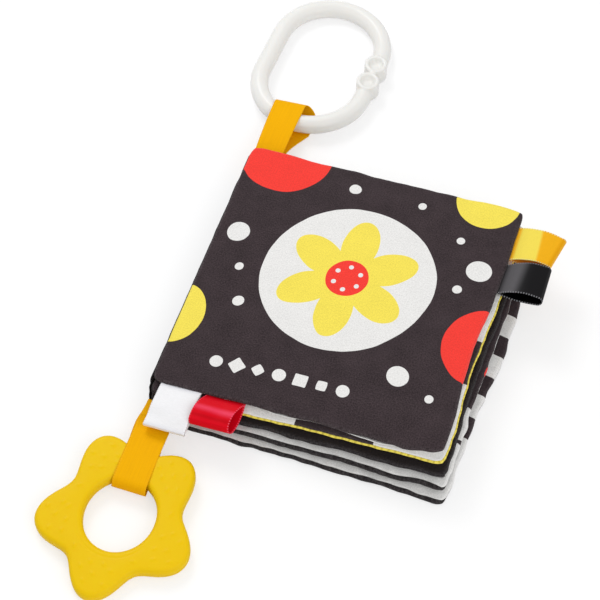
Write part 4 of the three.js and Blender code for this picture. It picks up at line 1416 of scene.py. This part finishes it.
# Ring's ribbon: root between the leaves, over the bar and back
ringRibbon = {
    "width": 17,
    "thickness": 0.4,
    "rootHeight": 8,
    "snug": 0.1,
    "split": 4.3,
    "slip": 6.2,  # how far the ribbon slips aside as it turns over the bar
    "standOff": 1.3,  # how far the crest stands out past the bar, and how much more at its right edge
    "standAside": 1.3,
    "gather": 2.4,  # how much the ribbon narrows where it is sewn in
    "clear": 3,  # how far its ends keep off the spine's rolled edges
    "slipShares": (0.445, 0.12),  # where on the ribbon the slip starts, and over how much of it
    "slipBy": 0.8,  # share of the way to the bar by which it is complete
    "clearOver": 3,
    "followFrom": 4,
    "inside": 0.7,  # how far the swing's axis lies inside the near end of the frame's loop
    "left": 0.6,  # how far it lies to the left of the frame's loop
    # Its ends' way down between the last page and the back cover
    "tuck": ((-8, -4.3), (-5.2, -4.2), (-3.5, -3.1), (-1.6, -0.9)),
}
strandGap = 0.05  # half of what the two strands keep between them where they are sewn in
sewnBend = (-1.5, 2.5)  # runs between which the sewn ends take on the ribbon's swing


def nodeMm(name):
    low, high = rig.box(name)
    return np.array(low) / toMetres, np.array(high) / toMetres


def addSewnEnds(ends, where, body, ribbonBody, width, held="stretched"):
    # The two ends stay between the leaves and pass the ribbon's swing on over a few millimetres
    for end, cutLength in ends:
        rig.slot(end, "orange_ribbon")
        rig.blend(end, body, ribbonBody, start=where(sewnBend[0]), end=where(sewnBend[1]))
        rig.sheet(end, flat=(width * toMetres, cutLength * toMetres), held=held,
                 rests_on=["back_cover_lining_cloth"])


def sewnStrand(tuck, offset):
    return [(run, drop + offset) for run, drop in tuck]


def addRingRibbon():
    v = ringRibbon
    width = v["width"]
    low, high = nodeMm("ring_ribbon")
    rootY, centreX = low[1] + v["inside"], (low[0] + high[0]) / 2
    holder = ringPlace()[0]
    half = linkRing["halfWidth"]
    radius = linkRing["barRadius"] + v["snug"] + v["thickness"] / 2
    barRun, climb = holder[1] - rootY, holder[2] - v["rootHeight"]
    rootHalf = v["thickness"] / 2 + strandGap
    off = holder[0] - (centreX - v["left"] - width / 2)
    crest = half - math.sqrt(half ** 2 - off ** 2) + v["standOff"]

    def place(run, aside, height, share):
        slipStart, slipOver = v["slipShares"]
        slipped = rise(share, slipStart, slipStart + slipOver)
        x = centreX + aside - v["left"] + v["slip"] * slipped * np.clip(run / barRun / v["slipBy"], 0, 1) ** 3
        x = x - v["gather"] * np.clip(1 - run / barRun, 0, 1) * (aside / width + 0.5)
        x = x + v["clear"] * rise(-run, 0, v["clearOver"]) * (0.5 - aside / width)
        follow = np.clip((run - v["followFrom"]) / (barRun - v["followFrom"]), 0, 1) ** 2
        y = rootY + run + follow * (crest + v["standAside"] * np.clip(aside / width + 0.5, 0, 1))
        return np.stack([x, y, v["rootHeight"] + height], -1)

    def where(run):
        return centreX * toMetres, (rootY + run) * toMetres, v["rootHeight"] * toMetres

    front = [(1, rootHalf), (v["split"], rootHalf + 0.3), (barRun * 0.4, rootHalf + 2.6),
             (barRun * 0.72, climb + radius - 0.2)]
    over = arcPoints((barRun, climb), radius, 96, -100, 17)
    back = [(barRun * 0.72, climb - radius + 0.9), (barRun * 0.4, -rootHalf - 1.3),
            (v["split"], -rootHalf - 0.1), (1, -rootHalf)]
    points = sewnStrand(v["tuck"], rootHalf) + front + over + back + sewnStrand(v["tuck"][::-1], -rootHalf)
    names = ["ring_ribbon_end_1", "ring_ribbon_loop", "ring_ribbon_end_2"]
    made = addRibbon(names, points, v["split"], width, v["thickness"], place, orangeRibbon)
    end1, (loop, cutLength), end2 = made
    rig.replaces(loop, "ring_ribbon")
    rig.slot(loop, "orange_ribbon")
    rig.blend(loop, "ring_ribbon", "link_ring", start=where(barRun * 0.5), end=where(barRun - 2))
    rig.sheet(loop, flat=(width * toMetres, cutLength * toMetres), held="folded", rests_on=["link_ring_body"])
    addSewnEnds((end1, end2), where, "back_cover", "ring_ribbon", width)


addRingRibbon()
print("ring ribbon made")


# Teether: a flat flower of silicone with a round hole and small nubs
teether = {
    "thickness": 7.5,
    "rounding": 2.6,
    "meanRadius": 35,
    "lobeHeight": 5.4,
    "holeRadius": 17.5,
    "stretch": 1.1,
    "aside": 0.7,
    "ribbonCentre": 9.3,
    "ribbonReach": 49,
    "ribbonWidth": 18.6,
    "lobes": 5,
    "angleSteps": 420,
    "crown": 0.2,
    "nub": 0.36,  # a nub's height, its half length and half width, and how it is turned
    "nubHalf": (1.15, 0.7),
    "nubTurn": 0.9,
    "groove": 0.2,  # depth, place outside the hole and half width of the faint line round the near side
    "grooveAt": 3.4,
    "grooveHalf": 0.5,
    "grooveFade": (14, 0.6),  # it fades out over this length, from this share of it on
    "topSkin": 0.4,  # what lies less deep than this belongs to the top
    "pivotHeight": 6.3,
    "pivotShare": 0.3,  # where it rests in the ribbon, as a share of the way over its rim
    "footInside": 3.4,  # how far inside its far lobe's end it touches the floor
}
nubRows = ((33.4, 0.16), (34.4, -0.12), (30, 0.0), (27.8, 0.26), (28.2, -0.24), (24.8, 0.1), (24.4, -0.16))


def teetherOutside(angle):
    return teether["meanRadius"] + teether["lobeHeight"] * np.cos(teether["lobes"] * (angle + pi / 2))


def nubPlaces():
    # Seven small nubs on each lobe, in two loose rows, and one between the lobes
    dice = np.random.default_rng(5)
    places = []
    for k in range(teether["lobes"]):
        middle = -pi / 2 + 2 * pi * k / teether["lobes"]
        for radius, turn in nubRows:
            angle = middle + turn + dice.uniform(-0.03, 0.03)
            places.append((radius + dice.uniform(-0.7, 0.7), angle))
        places.append((24.6, middle + pi / teether["lobes"] + dice.uniform(-0.05, 0.05)))
    return places


def placeTeether(points):
    # Holder: tilts about the rim inside the ribbon so that the far lobe lies on the floor
    t = teether
    half, farSide = t["thickness"] / 2, t["aside"] + t["ribbonWidth"] / 2
    hole = t["stretch"] * math.sqrt(t["holeRadius"] ** 2 - farSide ** 2)
    sideAngle = pi / 2 + math.asin(farSide / t["meanRadius"])
    rim = t["stretch"] * float(teetherOutside(sideAngle)) * math.sin(sideAngle)
    pivot = hole + (rim - hole) * t["pivotShare"]
    foot = t["stretch"] * (t["meanRadius"] + t["lobeHeight"]) - t["footInside"]
    tilt = math.asin((t["pivotHeight"] - half) / (pivot + foot))
    middle = leafSizes["height"] / 2 + t["ribbonReach"] + t["holeRadius"] * t["stretch"]
    holder = np.array([t["ribbonCentre"] + t["aside"], pivot - middle, t["pivotHeight"]]) + bookPlace
    p = np.asarray(points, float) - np.array([0, pivot, 0])
    c, s = math.cos(tilt), math.sin(tilt)
    return np.stack([p[..., 0], p[..., 1] * c - p[..., 2] * s, p[..., 1] * s + p[..., 2] * c], -1) + holder


def siliconeMaterial():
    material, tree, shader = newMaterial("teetherSilicone")
    skin = useGroup(tree, mouldedGroup, Place=objectPlace(tree), Grain=1900.0)
    setSockets(tree, shader, {
        "Base Color": mixColor(tree, skin["Tone"], linear("f1c500"), linear("f5cd00")),
        "Roughness": between(tree, skin["Scuff"], 0, 1, 0.48, 0.6, False),
        "Normal": bump(tree, skin["Height"], 0.2, 0.06),
        "Specular IOR Level": 0.15,
        "Subsurface Weight": 0.1,
        "Subsurface Radius": (1.0, 0.7, 0.1),
        "Subsurface Scale": 0.002,
    })
    return material


def teetherSection(angles):
    # Rows of points round the section at each angle: outer rounding, top, hole's rounding, and back below
    t = teether
    half, soft = t["thickness"] / 2, t["rounding"]
    inner, outer = t["holeRadius"] + soft, teetherOutside(angles) - soft
    turns, flats = np.linspace(0, pi / 2, 8), np.linspace(0, 1, 40)[1:-1]
    rows = [(outer + soft * math.cos(a), half - soft + soft * math.sin(a)) for a in turns]
    rows += [(inner + (outer - inner) * (1 - s), half + t["crown"] * math.sin(pi * (1 - s))) for s in flats]
    rows += [(inner - soft * math.sin(a), half - soft + soft * math.cos(a)) for a in turns]
    rows += [(inner - soft * math.cos(a), -half + soft - soft * math.sin(a)) for a in turns]
    rows += [(inner + (outer - inner) * s, -half) for s in flats]
    rows += [(outer + soft * math.sin(a), -half + soft - soft * math.cos(a)) for a in turns]
    return np.stack([np.stack([radius * np.cos(angles), radius * np.sin(angles) * t["stretch"],
                               np.full_like(angles, z)], -1) for radius, z in rows], 1)


def addTeether():
    t = teether
    angles = np.linspace(0, 2 * pi, t["angleSteps"], endpoint=False)
    points = teetherSection(angles)
    nearTop = t["thickness"] / 2 - t["topSkin"]
    for radius, angle in nubPlaces():
        at = np.array([radius * math.cos(angle), radius * math.sin(angle) * t["stretch"]])
        away, turned = points[..., :2] - at, angle + t["nubTurn"]
        along = away @ np.array([math.cos(turned), math.sin(turned)])
        aside = away @ np.array([-math.sin(turned), math.cos(turned)])
        nub = t["nub"] * np.exp(-((along / t["nubHalf"][0]) ** 2 + (aside / t["nubHalf"][1]) ** 2))
        points[..., 2] += nub * (points[..., 2] > nearTop)
    reach = np.hypot(points[..., 0], points[..., 1] / t["stretch"])
    fadeLength, fadeShare = t["grooveFade"]
    low = np.clip(-points[..., 1] / fadeLength - fadeShare, 0, 1)
    groove = t["groove"] * np.exp(-((reach - t["holeRadius"] - t["grooveAt"]) / t["grooveHalf"]) ** 2)
    points[..., 2] -= groove * low * (points[..., 2] > nearTop)
    rows, columns = points.shape[:2]
    at = np.arange(rows * columns).reshape(rows, columns)
    following = np.roll(at, -1, 0)
    quads = np.stack([at, following, np.roll(following, -1, 1), np.roll(at, -1, 1)], -1)
    faces = quads.reshape(-1, 4).tolist()
    piece = addPiece("teether_flower", placeTeether(points.reshape(-1, 3)), faces, None, siliconeMaterial())
    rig.ride(piece, "teether")
    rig.replaces(piece, "teether")
    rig.slot(piece, "teether_silicone")


addTeether()
print("teether made")


# Teether's ribbon: out from under the tag, over the rim, through the hole and back
teetherRibbon = {
    "thickness": 0.4,
    "width": 17.4,
    "aside": -0.4,
    "rootHeight": 8,
    "split": 4.3,
    "snug": 0.3,
    "inside": 0.7,  # how far the swing's axis and the bend lie inside the two ends of the frame's loop
    "insideEnd": 0.6,
    "hump": 0.3,
    "spare": 1.6,
    "shift": 0.7,  # how far it lies aside near the book, and its lower strand under the upper one
    "under": 1,
    "gather": 11,  # how much its sewn end is gathered
    "shiftOver": (-7, 12),  # the runs and shares of the ribbon over which these come in
    "underShares": (0.48, 0.6),
    "underOver": (-1, 8),
    "gatherOver": (-1, 4),
    "lowest": 0.25,
    "tuck": ((-5.8, -0.5), (-2.5, -0.45), (0.5, 0)),
}


def addTeetherRibbon():
    v = teetherRibbon
    width = v["width"]
    low, high = nodeMm("teether_ribbon")
    rootY, centreX = high[1] - v["inside"], (low[0] + high[0]) / 2 + v["aside"]
    rootHalf = v["thickness"] / 2 + strandGap
    radius = teether["thickness"] / 2 + v["snug"] + v["thickness"] / 2
    bight = rootY - (low[1] + v["insideEnd"] + radius) + v["spare"]
    middle = teether["pivotHeight"] - v["rootHeight"]

    def place(run, aside, height, share):
        shift = v["shift"] * rise(run, *v["shiftOver"]) * np.clip(1 - run / bight, 0, 1)
        under = rise(share, *v["underShares"]) * rise(run, *v["underOver"])
        shift = shift + v["under"] * under
        shift = shift + v["gather"] * rise(-run, *v["gatherOver"]) * (0.5 - aside / width)
        z = np.maximum(v["rootHeight"] + height, v["lowest"])
        return np.stack([centreX - aside - shift, rootY - run, z], -1)

    def where(run):
        return centreX * toMetres, (rootY - run) * toMetres, v["rootHeight"] * toMetres

    front = [(v["split"], rootHalf + 0.7), (bight * 0.3, rootHalf + v["hump"] + 0.5),
             (bight * 0.55, middle + radius - 0.3), (bight * 0.8, middle + radius + 0.12)]
    over = arcPoints((bight, middle), radius, 92, -95, 15)
    back = [(bight * 0.85, middle - radius), (bight * 0.7, middle - radius + 0.4),
            (bight * 0.5, -rootHalf - 2.4), (bight * 0.3, -rootHalf - 0.8), (v["split"], -rootHalf - 0.1)]
    points = sewnStrand(v["tuck"], rootHalf) + front + over + back + sewnStrand(v["tuck"][::-1], -rootHalf)
    names = ["teether_ribbon_end_1", "teether_ribbon_loop", "teether_ribbon_end_2"]
    made = addRibbon(names, points, v["split"], width, v["thickness"], place, orangeRibbon)
    end1, (loop, cutLength), end2 = made
    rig.replaces(loop, "teether_ribbon")
    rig.slot(loop, "orange_ribbon")
    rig.blend(loop, "teether_ribbon", "teether", start=where(bight * 0.45), end=where(bight * 0.75))
    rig.sheet(loop, flat=(width * toMetres, cutLength * toMetres), held="folded", rests_on=["teether_flower"])
    addSewnEnds((end1, end2), where, "back_cover", "teether_ribbon", width, "gathered")


addTeetherRibbon()
print("teether ribbon made")


# Stage: a pale floor that lets most of the white background through to the camera, and soft lamps
stageValues = {"floorSize": 6000, "floorColor": "f4f4f5", "floorShow": 0.5, "glow": 0.1, "worldStrength": 0.6}


def addStage():
    size = stageValues["floorSize"] / 2
    corners = [(x * size, y * size, 0) for x, y in ((-1, -1), (1, -1), (1, 1), (-1, 1))]
    floor = addPiece("floor", corners, [[0, 1, 2, 3]], smooth=False)
    material, tree, shader = newMaterial("floorPaper")
    paper = {"Base Color": linear(stageValues["floorColor"]), "Roughness": 0.9, "Specular IOR Level": 0.1}
    setSockets(tree, shader, paper)
    clear = addNode(tree, "ShaderNodeBsdfTransparent")
    seen = addNode(tree, "ShaderNodeLightPath").outputs["Is Camera Ray"]
    share = times(tree, seen, 1 - stageValues["floorShow"])
    mix = addNode(tree, "ShaderNodeMixShader", {0: share, 1: shader.outputs[0], 2: clear.outputs[0]})
    glow = addNode(tree, "ShaderNodeEmission", {"Strength": times(tree, seen, stageValues["glow"])})
    whole = addNode(tree, "ShaderNodeAddShader", {0: mix.outputs[0], 1: glow.outputs[0]})
    tree.links.new(whole.outputs[0], tree.nodes["Material Output"].inputs["Surface"])
    floor.data.materials.append(material)
    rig.stage(floor)
    world = bpy.data.worlds.new("studio")
    bpy.context.scene.world = world
    world.use_nodes = True
    tree = world.node_tree
    background = tree.nodes["Background"]
    path = addNode(tree, "ShaderNodeLightPath").outputs
    direct = calc(tree, "MAXIMUM", path["Is Camera Ray"],
                  calc(tree, "MAXIMUM", path["Is Glossy Ray"], path["Is Transmission Ray"]))
    strength = between(tree, direct, 0, 1, stageValues["worldStrength"], 1.0, False)
    background.inputs["Color"].default_value = (1, 1, 1, 1)
    tree.links.new(strength, background.inputs["Strength"])


lamps = {
    "keyLamp": {"place": (-520, 470, 800), "size": 420, "power": 3.4},
    "fillLamp": {"place": (600, -500, 700), "size": 700, "power": 2.9},
}


def addLamps():
    for name, values in lamps.items():
        data = bpy.data.lights.new(name, "AREA")
        data.size = values["size"] * toMetres
        data.energy = values["power"]
        lamp = bpy.data.objects.new(name, data)
        bpy.context.scene.collection.objects.link(lamp)
        lamp.location = Vector(values["place"]) * toMetres
        lamp.rotation_mode = "QUATERNION"
        lamp.rotation_quaternion = (-lamp.location).to_track_quat("-Z", "Y")


addStage()
addLamps()
print("stage made")

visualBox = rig.bounds()
with open("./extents.json", "w") as file:
    json.dump({"cad": [list(c) for c in cadBox], "visual": [list(c) for c in visualBox]}, file)
